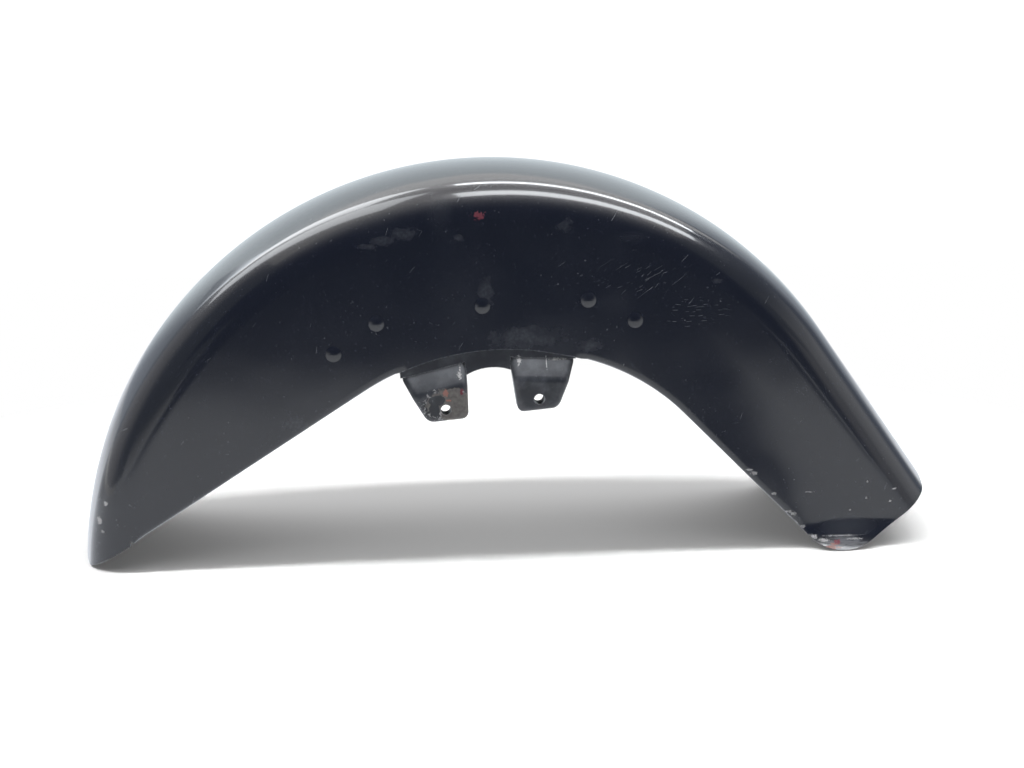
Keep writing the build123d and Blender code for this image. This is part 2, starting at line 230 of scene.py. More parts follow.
for point, normal in ((arch_start, ray(nose_normal)), (Vector((0, 0, CAD_LOW.z)), Vector((0, 0, 1)))):
    nose = with_parts([f for f in skin.faces if f.calc_center_median().x < AXLE.x - NOSE_REACH])
    bmesh.ops.bisect_plane(skin, geom=nose, plane_co=point, plane_no=normal, clear_inner=True)
print("after the nose cut", len(skin.faces), "faces")

# %% [markdown]
# ## The flat side wall
#
# The walls are flat, so one big face can fill each of them and its reflections stay perfectly plain.
# Only its outline needs care. A single vertex walks along the lower edge: an extrusion for each straight
# run and a spin for each arc. The loop closes on the shoulder's lowest row, and a face fills it.

# %% Walk the lower edge
RUN_STEP = 0.006


def walk(bm, vert, direction, length):
    """Extrudes a vertex along a straight run in even steps and returns the verts."""
    steps = max(1, round(length / RUN_STEP))
    path = []
    for step in range(steps):
        made = bmesh.ops.extrude_vert_indiv(bm, verts=[vert])["verts"]
        bmesh.ops.translate(bm, verts=made, vec=direction * (length / steps))
        vert = made[0]
        path.append(vert)
    return path


def turn(bm, vert, centre, degrees, radius):
    """Spins a vertex about a side-view centre and returns the verts in order."""
    steps = max(3, round(abs(math.radians(degrees)) * radius / RUN_STEP))
    known = set(bm.verts)
    spin_on(bm, [vert], centre, (0, 1, 0), math.radians(degrees), steps)
    made = [v for v in bm.verts if v not in known]
    path = []
    while made:
        following = min(made, key=lambda v: (v.co - vert.co).length)
        path.append(following)
        made.remove(following)
        vert = following
    return path


wall = Vector((0, -HALF_WIDTH, 0))
first = min(skin.verts, key=lambda v: (v.co - AXLE - wall - ray(nose_wall_angle, WALL_TOP)).length)
run = first.co - wall - arch_start
edge_path = [first]
edge_path += walk(skin, edge_path[-1], ray(-90 + nose_normal), run.length)
edge_path += turn(skin, edge_path[-1], ARCH_CENTRE + wall, nose_normal - exit_normal, ARCH_RADIUS)
edge_path += walk(skin, edge_path[-1], ray(-ARCH_EXIT_SLOPE), ARCH_EXIT_RUN)
blend_centre = edge_path[-1].co - ray(exit_normal, TAIL_EDGE_BLEND)
edge_path += turn(skin, edge_path[-1], blend_centre, TAIL_EDGE_SLOPE - ARCH_EXIT_SLOPE, TAIL_EDGE_BLEND)
corner_turn = 90 - TAIL_SLOPE + TAIL_EDGE_SLOPE
corner_run = TAIL_CORNER_RADIUS * math.tan(math.radians(corner_turn / 2))
to_end = TAIL_LENGTH - (edge_path[-1].co - AXLE).dot(ray(-TAIL_SLOPE))
tail_run = to_end / math.cos(math.radians(TAIL_SLOPE - TAIL_EDGE_SLOPE)) - corner_run
edge_path += walk(skin, edge_path[-1], ray(-TAIL_EDGE_SLOPE), tail_run)
rolled_count = len(edge_path)
corner_centre = edge_path[-1].co + ray(90 - TAIL_EDGE_SLOPE, TAIL_CORNER_RADIUS)
edge_path += turn(skin, edge_path[-1], corner_centre, -corner_turn, TAIL_CORNER_RADIUS)
end_run = WALL_TOP - (edge_path[-1].co - AXLE).dot(ray(tail_turn))
edge_path += walk(skin, edge_path[-1], ray(tail_turn), end_run)
print("lower edge", len(edge_path), "points, lowest at", round(min(v.co.z for v in edge_path), 5))

# %% [markdown]
# ## Room for the rolled edge
#
# The lower edge isn't sharp: it is rolled inwards over a small radius, so the flat part of the wall stops
# one radius short of the outline. Each point of the path is drawn back along its own normal. The roll dies
# out at the nose, at the tail lip and where the fork bracket hangs below the wall, so two numbers ride on
# each point: how far it is drawn back, and how far it curls.

# %% Draw the path back
ROLL_RADIUS = 0.005
ROLL_TAPER = 0.016
NOTCH_CENTRE = -0.0219
NOTCH_HALF = 0.0777
NOTCH_TAPER = 0.004


def ease(value):
    """Smooth step from 0 to 1, level at both ends."""
    value = min(1.0, max(0.0, value))
    return value * value * (3 - 2 * value)


rolled = edge_path[:rolled_count]
normals, drawn, curls = {}, {}, {}
travelled = 0.0
total = sum((b.co - a.co).length for a, b in zip(rolled, rolled[1:]))
for i, v in enumerate(rolled):
    before = rolled[max(i - 1, 0)].co
    after = rolled[min(i + 1, rolled_count - 1)].co
    along = (after - before).normalized()
    normals[v] = Vector((along.z, 0, -along.x))
    if i:
        travelled += (v.co - rolled[i - 1].co).length
    ends = ease(travelled / ROLL_TAPER) * ease((total - travelled) / ROLL_TAPER)
    notch = ease((abs(v.co.x - NOTCH_CENTRE) - NOTCH_HALF) / NOTCH_TAPER)
    drawn[v] = ROLL_RADIUS * ends
    curls[v] = ends * notch
for v in rolled:
    v.co -= normals[v] * drawn[v]
open_ends = [v for v in skin.verts if v.is_boundary or v.is_wire]
bmesh.ops.remove_doubles(skin, verts=open_ends, dist=CLOSE_POINT)
print("rolled length", round(total, 4), "m")

# %% [markdown]
# ## Filling the wall
#
# The path and the shoulder's lowest row now make one closed loop. A grid fill or a fan of triangles would
# put edges across the flat wall, and each edge could bend a reflection. Contextual create, which is the
# editor's F key, lays a single face with many corners into the loop instead.

# %% Fill the wall
def on_wall(part):
    """True for an edge or a face that lies in the plane of the left wall."""
    return all(abs(v.co.y + HALF_WIDTH) < SAME_POINT for v in part.verts)


loop = [e for e in skin.edges if len(e.link_faces) < 2 and on_wall(e)]
wall_face = bmesh.ops.contextual_create(skin, geom=loop)["faces"]
print("wall filled by", len(wall_face), "face with", len(wall_face[0].verts), "corners")

# %% [markdown]
# ## The rolled edge
#
# A raw sheet edge would be sharp and weak, so the press rolls it a quarter turn inwards. Here the wall's
# own edge is extruded row by row round the roll's centre, and a last row gives the short flat return.
# Each new point remembers which point of the path it came from. An inset then frames the flat face, so
# that the smooth shading of the roll ends there and the wall itself stays flat.

# %% Roll the lower edge
ROLL_STEPS = 6
ROLL_RETURN = 0.003
FRAME_WIDTH = 0.0015
bases = {v: v.co.copy() for v in rolled if v.is_valid}
sources = {v: v for v in bases}
row = [e for e in skin.edges if e.is_boundary and e.verts[0] in bases and e.verts[1] in bases]
for step in range(1, ROLL_STEPS + 2):
    new_verts, row = extrude_row(skin, row)
    fresh = set(new_verts)
    turned = math.radians(90) * min(step, ROLL_STEPS) / ROLL_STEPS
    for v in new_verts:
        parent = next(e.other_vert(v) for e in v.link_edges if e.other_vert(v) not in fresh)
        base = sources[v] = sources[parent]
        inward = curls[base] * ROLL_RADIUS * (1 - math.cos(turned))
        if step > ROLL_STEPS:
            inward += curls[base] * ROLL_RETURN
        v.co = bases[base] + normals[base] * drawn[base] * math.sin(turned) + Vector((0, inward, 0))
        v[wear_layer] = math.sin(turned)
bmesh.ops.inset_region(skin, faces=wall_face, thickness=FRAME_WIDTH, use_even_offset=False)
print("roll made of", ROLL_STEPS + 1, "rows of", len(row), "edges")

# %% [markdown]
# ## The tail lip
#
# At the tail the lower corner of each wall is turned outwards to a lip, which the mudguard stands on.
# The bend isn't a sharp fold: it starts along an arc, low at the rolled edge and higher behind it. So the
# corner of the flat wall is first cut into a small grid with level and upright planes, and then each point
# below the arc moves out along a smooth curve. It holds flat at first and then turns quicker, as sheet does
# that is bent over a die.

# %% Turn out the lip
LIP_CLEARANCE = 0.002
LIP_FLARE = 0.0105
LIP_RISE = 0.011
LIP_HOLD = 0.22
LIP_POWER = 1.6
LIP_RISE_SHARE = 0.5
LIP_WEAR = 0.8
LIP_ROWS = 16
LIP_COLUMNS = 14
lip_corner = AXLE + ray(tail_turn, WALL_TOP - LIP_CLEARANCE) + ray(-TAIL_SLOPE, TAIL_LENGTH)
lip_drop = lip_corner.z - CAD_LOW.z
lip_start = min(v.co.x for v in skin.verts if v.co.x > 0 and v.co.z < lip_corner.z)
lip_width = lip_corner.x - lip_start


def flat_corner(bm):
    """Flat wall round the lip, as the faces, edges and verts that a cut needs."""
    flat = [f for f in bm.faces if on_wall(f) and max(v.co.x for v in f.verts) > 0]
    return with_parts([f for f in flat if min(v.co.z for v in f.verts) < lip_corner.z + LIP_RISE])


for cut in range(LIP_ROWS):
    level = CAD_LOW.z + (lip_drop + LIP_RISE) * (1 - cut / LIP_ROWS)
    bmesh.ops.bisect_plane(skin, geom=flat_corner(skin), plane_co=(0, 0, level), plane_no=(0, 0, 1))
for cut in range(1, LIP_COLUMNS):
    below = [f for f in skin.faces if max(v.co.z for v in f.verts) < lip_corner.z + LIP_RISE + CLOSE_POINT]
    geom = [g for g in flat_corner(skin) if not isinstance(g, bmesh.types.BMFace) or g in below]
    upright = lip_start + lip_width * cut / LIP_COLUMNS
    bmesh.ops.bisect_plane(skin, geom=geom, plane_co=(upright, 0, 0), plane_no=(1, 0, 0))
for v in skin.verts:
    rise = LIP_RISE * ease((v.co.x - lip_start) / (LIP_RISE_SHARE * lip_width))
    depth = (lip_corner.z + rise - v.co.z) / (lip_drop + rise)
    if v.co.x > lip_start - ROLL_RADIUS and depth > 0 and v.co.y < -HALF_WIDTH + ROLL_RADIUS:
        bent = max(0.0, depth - LIP_HOLD) / (1 - LIP_HOLD)
        slope = math.atan(LIP_POWER * LIP_FLARE * bent ** (LIP_POWER - 1) / (lip_drop * (1 - LIP_HOLD)))
        v.co.y -= LIP_FLARE * bent**LIP_POWER
        v.co.z += SHEET * math.sin(slope) * depth
        v[wear_layer] = max(v[wear_layer], LIP_WEAR * depth)
print("lip drop", round(lip_drop, 4), "m, width", round(lip_width, 4), "m")

# %% [markdown]
# ## Both sides of the sheet
#
# The real press makes both sides at once. Here the left half is mirrored and its doubles are merged along
# the crest. Only then are the normals recalculated, so that the thickness grows inwards everywhere.

# %% Mirror the sheet
bmesh.ops.remove_doubles(skin, verts=skin.verts[:], dist=2 * SAME_POINT)
bmesh.ops.dissolve_degenerate(skin, edges=skin.edges[:], dist=SAME_POINT)
half = skin.verts[:] + skin.edges[:] + skin.faces[:]
bmesh.ops.mirror(skin, geom=half, axis="Y", merge_dist=SAME_POINT)
middle_row = [v for v in skin.verts if abs(v.co.y) < CLOSE_POINT]
bmesh.ops.remove_doubles(skin, verts=middle_row, dist=CLOSE_POINT)
bmesh.ops.recalc_face_normals(skin, faces=skin.faces[:])
crest = max(skin.faces, key=lambda f: f.calc_center_median().z)
if crest.normal.z < 0:
    bmesh.ops.reverse_faces(skin, faces=skin.faces[:])
for f in skin.faces:
    f.smooth = True
print("both sides", len(skin.faces), "faces")

# %% [markdown]
# ## The thickness of the sheet
#
# A surface has no thickness, and cut steel shows its edge. A Solidify modifier gives the wall its thickness
# inwards, so that the outside keeps its size, and a second material inside. A small bevel breaks the cut
# edge, and weighted normals keep the big flat walls flat beside their rounded edges.

# %% Give the sheet its thickness
EDGE_BREAK = 0.0004
EDGE_BREAK_STEPS = 2
EDGE_ANGLE = math.radians(60)
FLAT_WEIGHT = 100


def object_from(bm, name, *materials):
    """Makes a mesh object at the origin."""
    mesh = bpy.data.meshes.new(name)
    bm.to_mesh(mesh)
    bm.free()
    for material in materials:
        mesh.materials.append(material)
    made = bpy.data.objects.new(name, mesh)
    scene.collection.objects.link(made)
    return made


skin_paint = bpy.data.materials.new("worn black paint")
inner_paint = bpy.data.materials.new("inside paint")
sheet_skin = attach(object_from(skin, "pressed_skin", skin_paint, inner_paint), "root")
thickness = sheet_skin.modifiers.new("sheet thickness", "SOLIDIFY")
thickness.thickness = SHEET
thickness.offset = -1
thickness.use_even_offset = True
thickness.material_offset = 1
thickness.material_offset_rim = 0
rim = sheet_skin.modifiers.new("sheet edge", "BEVEL")
rim.width = EDGE_BREAK
rim.segments = EDGE_BREAK_STEPS
rim.limit_method = "ANGLE"
rim.angle_limit = EDGE_ANGLE
even = sheet_skin.modifiers.new("flat walls", "WEIGHTED_NORMAL")
even.weight = FLAT_WEIGHT
even.keep_sharp = True
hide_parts("fender_skin")
print("skin", len(sheet_skin.data.polygons), "faces before its thickness")

# %% [markdown]
# ## Rivets
#
# Five rivets a side hold each fork bracket to the wall. The head outside is a low dome that was painted
# over with the sheet, so its foot has a soft ring of paint. Inside, the shank was hammered to a flat tail.
# A rivet is a turned shape: half its outline is walked with one vertex and spun once round its axis.

# %% Turn one rivet
HEAD_RADIUS = 0.0065
HEAD_HEIGHT = 0.0018
PAINT_RING = 0.0006
SHANK_RADIUS = 0.003
RIVET_TAIL_RADIUS = 0.0048
RIVET_TAIL_HEIGHT = 0.0028
TAIL_STRAIGHT = 0.8
TAIL_TOP = 0.9
BRACKET_SHEET = 0.0025
RIVET_SIDES = 40
DOME_STEPS = 12

dome_radius = (HEAD_RADIUS**2 + HEAD_HEIGHT**2) / (2 * HEAD_HEIGHT)
dome_turn = math.asin(HEAD_RADIUS / dome_radius)
rivet = bmesh.new()
crest = rivet.verts.new((0, -HALF_WIDTH - HEAD_HEIGHT, 0))
dome_centre = (0, dome_radius - HALF_WIDTH - HEAD_HEIGHT, 0)
dome = spin_on(rivet, [crest], dome_centre, (0, 0, 1), dome_turn, DOME_STEPS)
foot = last_of(dome, bmesh.types.BMVert)[0]
tail_face = -HALF_WIDTH + SHEET + BRACKET_SHEET
outline = (
    (HEAD_RADIUS + PAINT_RING, -HALF_WIDTH),
    (SHANK_RADIUS, -HALF_WIDTH + SHEET / 2),
    (SHANK_RADIUS, tail_face),
    (RIVET_TAIL_RADIUS, tail_face),
    (RIVET_TAIL_RADIUS, tail_face + TAIL_STRAIGHT * RIVET_TAIL_HEIGHT),
    (TAIL_TOP * RIVET_TAIL_RADIUS, tail_face + RIVET_TAIL_HEIGHT),
    (0, tail_face + RIVET_TAIL_HEIGHT),
)
for x, y in outline:
    foot = bmesh.ops.extrude_vert_indiv(rivet, verts=[foot])["verts"][0]
    foot.co = (x, y, 0)
spin_on(rivet, rivet.edges[:], (0, 0, 0), (0, 1, 0), math.tau, RIVET_SIDES, merge=True)
bmesh.ops.remove_doubles(rivet, verts=rivet.verts[:], dist=SAME_POINT)
bmesh.ops.recalc_face_normals(rivet, faces=rivet.faces[:])
print("one rivet", len(rivet.faces), "faces")

# %% [markdown]
# The rivets sit on the bracket's own grid, which leans a little towards the nose. The bracket's middle is
# the middle of its bolt pattern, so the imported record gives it. The right side is the left one mirrored.

# %% Set five rivets a side
BRACKET_TILT = math.radians(5.2)
CRISP_ANGLE = math.radians(40)
RIVET_GRID = ((0, 0.0849), (-0.0913, 0.0799), (0.0913, 0.0799), (-0.1304, 0.0574), (0.1304, 0.0574))
mounts = {m["name"]: m for m in frame["record"]["mounts"]}
bolt_middle = Vector(mounts["left_fork_bolts"]["pos_m"])


def on_bracket(across, up):
    """Point of the left wall from the bracket's own grid."""
    lean_matrix = Matrix.Rotation(-BRACKET_TILT, 3, "Y")
    return Vector((bolt_middle.x, 0, bolt_middle.z)) + lean_matrix @ Vector((across, 0, up))


row = bmesh.new()
for across, up in RIVET_GRID:
    one = rivet.copy()
    bmesh.ops.translate(one, verts=one.verts[:], vec=on_bracket(across, up))
    single = bpy.data.meshes.new("single rivet")
    one.to_mesh(single)
    one.free()
    row.from_mesh(single)
    bpy.data.meshes.remove(single)
rivet.free()
for f in row.faces:
    f.smooth = True
rivet_paint = bpy.data.materials.new("rivet paint")
other_row = row.copy()
bmesh.ops.scale(other_row, verts=other_row.verts[:], vec=(1, -1, 1))
bmesh.ops.reverse_faces(other_row, faces=other_row.faces[:])
for name, bm in (("left_rivets", row), ("right_rivets", other_row)):
    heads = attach(object_from(bm, name.replace("rivets", "rivet_heads"), rivet_paint), "root")
    crisp = heads.modifiers.new("crisp tails", "EDGE_SPLIT")
    crisp.split_angle = CRISP_ANGLE
    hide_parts(name)
    print(heads.name, len(heads.data.polygons), "faces")

# %% [markdown]
# ## Small helpers for shader nodes
#
# A material is a tree of nodes. Written out one call at a time it gets long, so a few helpers add a node,
# fill its inputs with numbers or links, and hand back the socket that comes next.

# %% Helpers that add nodes
def fill(tree, socket, value):
    """Links a socket to another one, or sets its number or colour."""
    if isinstance(value, bpy.types.NodeSocket):
        tree.links.new(value, socket)
    else:
        socket.default_value = value


def dress(tree, node, **sockets):
    """Fills or links inputs of a node by their names."""
    for key, value in sockets.items():
        fill(tree, node.inputs[key.replace("_", " ")], value)


def add(tree, kind, options=None, **sockets):
    """Adds a shader node, sets its options and fills or links its inputs."""
    made = tree.nodes.new("ShaderNode" + kind)
    for key, value in (options or {}).items():
        setattr(made, key, value)
    dress(tree, made, **sockets)
    return made


def maths(tree, operation, *values, clamp=False):
    """Adds a Math node and returns its value."""
    made = add(tree, "Math", {"operation": operation, "use_clamp": clamp})
    for socket, value in zip(made.inputs, values):
        fill(tree, socket, value)
    return made.outputs[0]


def vector_maths(tree, operation, *values):
    """Adds a Vector Math node and returns its vector, or its value where it gives a number."""
    made = add(tree, "VectorMath", {"operation": operation})
    for socket, value in zip(made.inputs, values):
        fill(tree, socket, value)
    return made.outputs["Value" if operation in ("LENGTH", "DOT_PRODUCT") else "Vector"]


def noise(tree, where, size, detail):
    """Cloudy pattern about 0.5, with blotches of a size in metres."""
    return add(tree, "TexNoise", Vector=where, Scale=1 / size, Detail=detail).outputs["Fac"]


print("node helpers ready")

# %% [markdown]
# A mask is a number from 0 to 1 at each point that says how much of an effect is there. The next helpers
# make a mask from another value, join masks, and let them choose between colours.

# %% Helpers for masks
def fade(tree, value, none_at, full_at):
    """Smooth step from 0 at one value to 1 at another."""
    smooth = {"interpolation_type": "SMOOTHSTEP"}
    return add(tree, "MapRange", smooth, Value=value, From_Min=none_at, From_Max=full_at).outputs["Result"]


def times(tree, first, *others):
    """Product of masks and numbers."""
    for value in others:
        first = maths(tree, "MULTIPLY", first, value)
    return first


def strongest(tree, first, *others):
    """Largest of several masks at each point."""
    for mask in others:
        first = maths(tree, "MAXIMUM", first, mask)
    return first


def weigh(tree, base, *layers):
    """Adds layers to a base number, each a mask and how much of it counts, and keeps the sum in 0 to 1."""
    for mask, amount in layers:
        base = maths(tree, "MULTIPLY_ADD", mask, amount, base, clamp=True)
    return base


def blend(tree, share, first_colour, second_colour):
    """Mixes two colours by a mask."""
    made = add(tree, "Mix", {"data_type": "RGBA"})
    for index, value in ((0, share), (6, first_colour), (7, second_colour)):
        fill(tree, made.inputs[index], value)
    return made.outputs[2]


def cover(tree, colour, *coats):
    """Lays coats over a colour one after the other, each with its mask and its strength."""
    for mask, strength, coat in coats:
        colour = blend(tree, times(tree, mask, strength), colour, coat)
    return colour


print("mask helpers ready")

# %% [markdown]
# An effect that several materials share is built once, as a node group with inputs of its own. A material
# then places the group like a single node.

# %% Helpers for node groups
def new_group(name, inputs, outputs):
    """Starts a node group and returns it with its inner ends."""
    group = bpy.data.node_groups.new(name, "ShaderNodeTree")
    for label, kind, value in inputs:
        socket = group.interface.new_socket(label, in_out="INPUT", socket_type="NodeSocket" + kind)
        if value is not None:
            socket.default_value = value
    for label, kind in outputs:
        group.interface.new_socket(label, in_out="OUTPUT", socket_type="NodeSocket" + kind)
    return group, group.nodes.new("NodeGroupInput").outputs, group.nodes.new("NodeGroupOutput").inputs


def use(tree, group, **sockets):
    """Places a node group in a material and returns its outputs."""
    made = add(tree, "Group", {"node_tree": group}, **sockets)
    return made.outputs


print("group helpers ready")

# %% [markdown]
# ## Shared effect: a ragged spot
#
# Chips, smears and worn patches are all spots with a torn outline. The group measures how far a point
# lies from a centre, in shares of a reach along each axis, and adds some noise to that distance. A chip
# has a short reach and a fine grain, and a smear has a long reach and a coarse one.

# %% Build the spot group
spot_group, got, give = new_group(
    "ragged spot",
    [
        ("Vector", "Vector", None),
        ("Centre", "Vector", None),
        ("Reach", "Vector", (0.01, 0.01, 0.01)),
        ("Ragged", "Float", 0.6),
        ("Grain", "Float", 300.0),
        ("Soft", "Float", 0.15),
    ],
    [("Mask", "Float")],
)
offset = vector_maths(spot_group, "SUBTRACT", got["Vector"], got["Centre"])
share = vector_maths(spot_group, "LENGTH", vector_maths(spot_group, "DIVIDE", offset, got["Reach"]))
torn = add(spot_group, "TexNoise", Vector=got["Vector"], Scale=got["Grain"], Detail=4.0).outputs["Fac"]
torn = times(spot_group, maths(spot_group, "SUBTRACT", torn, 0.5), got["Ragged"])
spread = maths(spot_group, "ADD", share, torn)
inner = maths(spot_group, "SUBTRACT", 1.0, got["Soft"])
spot_group.links.new(fade(spot_group, spread, 1.0, inner), give["Mask"])
print("spot group", len(spot_group.nodes), "nodes")

# %% [markdown]
# ## Shared effect: hair scratches
#
# A scratch is a short straight line, so it is drawn as one. Voronoi cells scatter a point in every cell.
# Around that point the side view is turned by the cell's own angle, and whatever lies close to the turned
# axis is scratched. The cell's other random numbers set the length and whether there is a scratch at all,
# and a short scratch is fainter than a long one.

# %% Build the scratch group
LINE_CORE = 0.3
LINE_TAPER = 0.7
FAINTEST = 0.3
scratch_group, got, give = new_group(
    "hair scratches",
    [
        ("Vector", "Vector", None),
        ("Cell", "Float", 0.012),
        ("Length", "Float", 0.012),
        ("Width", "Float", 0.0004),
        ("Direction", "Float", 0.6),
        ("Spread", "Float", 0.8),
        ("Share", "Float", 0.3),
    ],
    [("Mask", "Float")],
)
axes = add(scratch_group, "SeparateXYZ", Vector=got["Vector"]).outputs
side_view = add(scratch_group, "CombineXYZ", X=axes["X"], Y=axes["Z"]).outputs[0]
per_metre = maths(scratch_group, "DIVIDE", 1.0, got["Cell"])
flat_cells = {"voronoi_dimensions": "2D"}
cells = add(scratch_group, "TexVoronoi", flat_cells, Vector=side_view, Scale=per_metre).outputs
chance = add(scratch_group, "SeparateColor", Color=cells["Color"]).outputs
lean_by = times(scratch_group, maths(scratch_group, "SUBTRACT", chance[0], 0.5), got["Spread"])
heading = maths(scratch_group, "ADD", got["Direction"], lean_by)
back = times(scratch_group, heading, -1.0)
local = vector_maths(scratch_group, "SUBTRACT", side_view, cells["Position"])
about_z = {"rotation_type": "Z_AXIS"}
turned_back = add(scratch_group, "VectorRotate", about_z, Vector=local, Angle=back).outputs[0]
along_across = add(scratch_group, "SeparateXYZ", Vector=turned_back).outputs
along = maths(scratch_group, "ABSOLUTE", along_across["X"])
across = maths(scratch_group, "ABSOLUTE", along_across["Y"])
half_length = times(scratch_group, chance[1], got["Length"], 0.5)
thin = fade(scratch_group, across, got["Width"], times(scratch_group, got["Width"], LINE_CORE))
short = fade(scratch_group, along, half_length, times(scratch_group, half_length, LINE_TAPER))
present = maths(scratch_group, "LESS_THAN", chance[2], got["Share"])
faint = weigh(scratch_group, FAINTEST, (chance[1], 1 - FAINTEST))
scratch_group.links.new(times(scratch_group, thin, short, present, faint), give["Mask"])
print("scratch group", len(scratch_group.nodes), "nodes")

# %% [markdown]
# ## Shared effect: dust film
#
# Handling leaves a thin, cloudy film that greys black paint. Two noises of different size, one multiplied
# into the other, give it wipe marks and specks. It is weak on purpose: most of the paint stays black.

# %% Build the film group
CLOUD_CUT = (0.42, 0.72)
SPECK_CUT = (0.70, 0.78)
STRAY_SPECKS = 0.15
film_group, got, give = new_group(
    "dust film",
    [("Vector", "Vector", None), ("Cloud", "Float", 12.0), ("Speck", "Float", 420.0)],
    [("Film", "Float"), ("Specks", "Float")],
)
cloud = add(
    film_group, "TexNoise", Vector=got["Vector"], Scale=got["Cloud"], Detail=6.0, Roughness=0.62
).outputs["Fac"]
grains = add(film_group, "TexNoise", Vector=got["Vector"], Scale=got["Speck"], Detail=2.0).outputs["Fac"]
clouds = fade(film_group, cloud, *CLOUD_CUT)
film_group.links.new(clouds, give["Film"])
dots = fade(film_group, grains, *SPECK_CUT)
specks = times(film_group, dots, maths(film_group, "ADD", clouds, STRAY_SPECKS))
film_group.links.new(specks, give["Specks"])
print("film group", len(film_group.nodes), "nodes")

# %% [markdown]
# ## Shared effect: the sprayed surface
#
# Sprayed paint is never a perfect mirror. It has a fine orange peel, and the pressed sheet under it has
# broad shallow waves that bend a reflected lamp. Both are heights for a Bump node.

# %% Build the sprayed surface group
PEEL_SIZE = 0.0022
WAVE_SIZE = 0.07
spray_group, got, give = new_group(
    "sprayed surface",
    [("Vector", "Vector", None), ("Peel", "Float", 0.10), ("Wave", "Float", 1.0)],
    [("Height", "Float")],
)
peel = times(spray_group, noise(spray_group, got["Vector"], PEEL_SIZE, 2.0), got["Peel"])
wave = times(spray_group, noise(spray_group, got["Vector"], WAVE_SIZE, 1.0), got["Wave"])
spray_group.links.new(maths(spray_group, "ADD", peel, wave), give["Height"])
print("spray group", len(spray_group.nodes), "nodes")

# %% [markdown]
# ## The black paint of the sheet
#
# The sheet is black over an earlier red coat. Where a stone or a tool hit it, the red shows, or a faded
# pink of it, or bare steel. Each mark has a name and a place on the left wall, read off the photograph.
# Clear lacquer is the coat of the Principled shader, over a base with a wider gloss of its own, and it is
# missing wherever the paint is gone.

# %% Marks on the left wall
WALL_Y = -HALF_WIDTH
LIP_Y = WALL_Y - LIP_FLARE
RED_MARKS = {
    "crown chip": ((-0.0324, WALL_Y, 0.3090), (0.0052, 0.012, 0.0032)),
    "lip spot": ((0.2904, LIP_Y, 0.0078), (0.0028, 0.012, 0.0022)),
}
PINK_MARKS = {
    "lip left": ((0.2820, LIP_Y, 0.0032), (0.0110, 0.012, 0.0022)),
    "lip fleck": ((0.2880, LIP_Y, 0.0062), (0.0050, 0.012, 0.0012)),
}
BARE_MARKS = {
    "nose tip": ((-0.3570, -0.0810, 0.0614), (0.0026, 0.008, 0.0022)),
    "nose side": ((-0.3632, -0.0747, 0.0451), (0.0034, 0.006, 0.0036)),
    "nose foot": ((-0.3604, -0.0798, 0.0365), (0.0018, 0.006, 0.0014)),
    "edge chip 1": ((0.2085, WALL_Y, 0.0765), (0.0030, 0.010, 0.0012)),
    "edge chip 2": ((0.2125, WALL_Y, 0.0735), (0.0032, 0.010, 0.0018)),
    "edge chip 3": ((0.2316, WALL_Y, 0.0534), (0.0022, 0.010, 0.0016)),
    "edge chip 4": ((0.2460, WALL_Y, 0.0358), (0.0030, 0.010, 0.0014)),
    "edge chip 5": ((0.2505, WALL_Y, 0.0332), (0.0026, 0.010, 0.0022)),
    "edge chip 6": ((0.2600, WALL_Y, 0.0212), (0.0016, 0.010, 0.0020)),
    "edge chip 7": ((0.2690, WALL_Y, 0.0122), (0.0036, 0.012, 0.0020)),
    "lip streak": ((0.3060, LIP_Y, 0.0098), (0.0085, 0.012, 0.0010)),
    "lip crease": ((0.2930, LIP_Y, 0.0128), (0.0200, 0.012, 0.0009)),
    "lip left": ((0.2780, LIP_Y, 0.0095), (0.0060, 0.012, 0.0018)),
    "tail tick": ((0.2640, WALL_Y, 0.0538), (0.0050, 0.010, 0.0005)),
    "tail nick": ((0.3427, WALL_Y, 0.0538), (0.0028, 0.010, 0.0011)),
    "tail speck 1": ((0.3168, WALL_Y, 0.0618), (0.0011, 0.010, 0.0009)),
    "tail speck 2": ((0.3167, WALL_Y, 0.0462), (0.0011, 0.010, 0.0012)),
    "tail speck 3": ((0.3392, WALL_Y, 0.0426), (0.0015, 0.010, 0.0009)),
    "tail speck 4": ((0.3025, WALL_Y, 0.0353), (0.0010, 0.010, 0.0009)),
}
SMEARS = {
    "scuff, low end": ((-0.1273, WALL_Y, 0.2845), (0.0110, 0.03, 0.0030)),
    "scuff, middle": ((-0.1120, WALL_Y, 0.2893), (0.0150, 0.03, 0.0050)),
    "scuff, high end": ((-0.0960, WALL_Y, 0.2945), (0.0160, 0.03, 0.0075)),
    "star smudge": ((0.0409, WALL_Y, 0.2992), (0.0090, 0.03, 0.0080)),
    "arch dust": ((0.0040, WALL_Y, 0.2030), (0.0400, 0.03, 0.0120)),
    "arch wipe": ((0.0635, WALL_Y, 0.1949), (0.0150, 0.03, 0.0080)),
    "edge dirt": ((-0.1915, WALL_Y, 0.1316), (0.0150, 0.03, 0.0070)),
    "tail wipe": ((0.1735, WALL_Y, 0.2488), (0.0070, 0.03, 0.0030)),
    "small rub": ((-0.0500, WALL_Y, 0.2905), (0.0060, 0.03, 0.0040)),
    "rivet specks": ((-0.0270, WALL_Y, 0.2420), (0.0090, 0.03, 0.0180)),
}
VEILS = {
    "under the gap": ((-0.0661, WALL_Y, 0.3120), (0.0150, 0.03, 0.0260)),
    "wide veil": ((-0.0470, WALL_Y, 0.2400), (0.0420, 0.03, 0.0620)),
    "arch veil": ((0.0250, WALL_Y, 0.2050), (0.0600, 0.03, 0.0260)),
    "shoulder wipe": ((0.0960, WALL_Y, 0.2880), (0.0220, 0.03, 0.0060)),
    "rivet cloud": ((0.0850, WALL_Y, 0.2330), (0.0260, 0.03, 0.0170)),
}
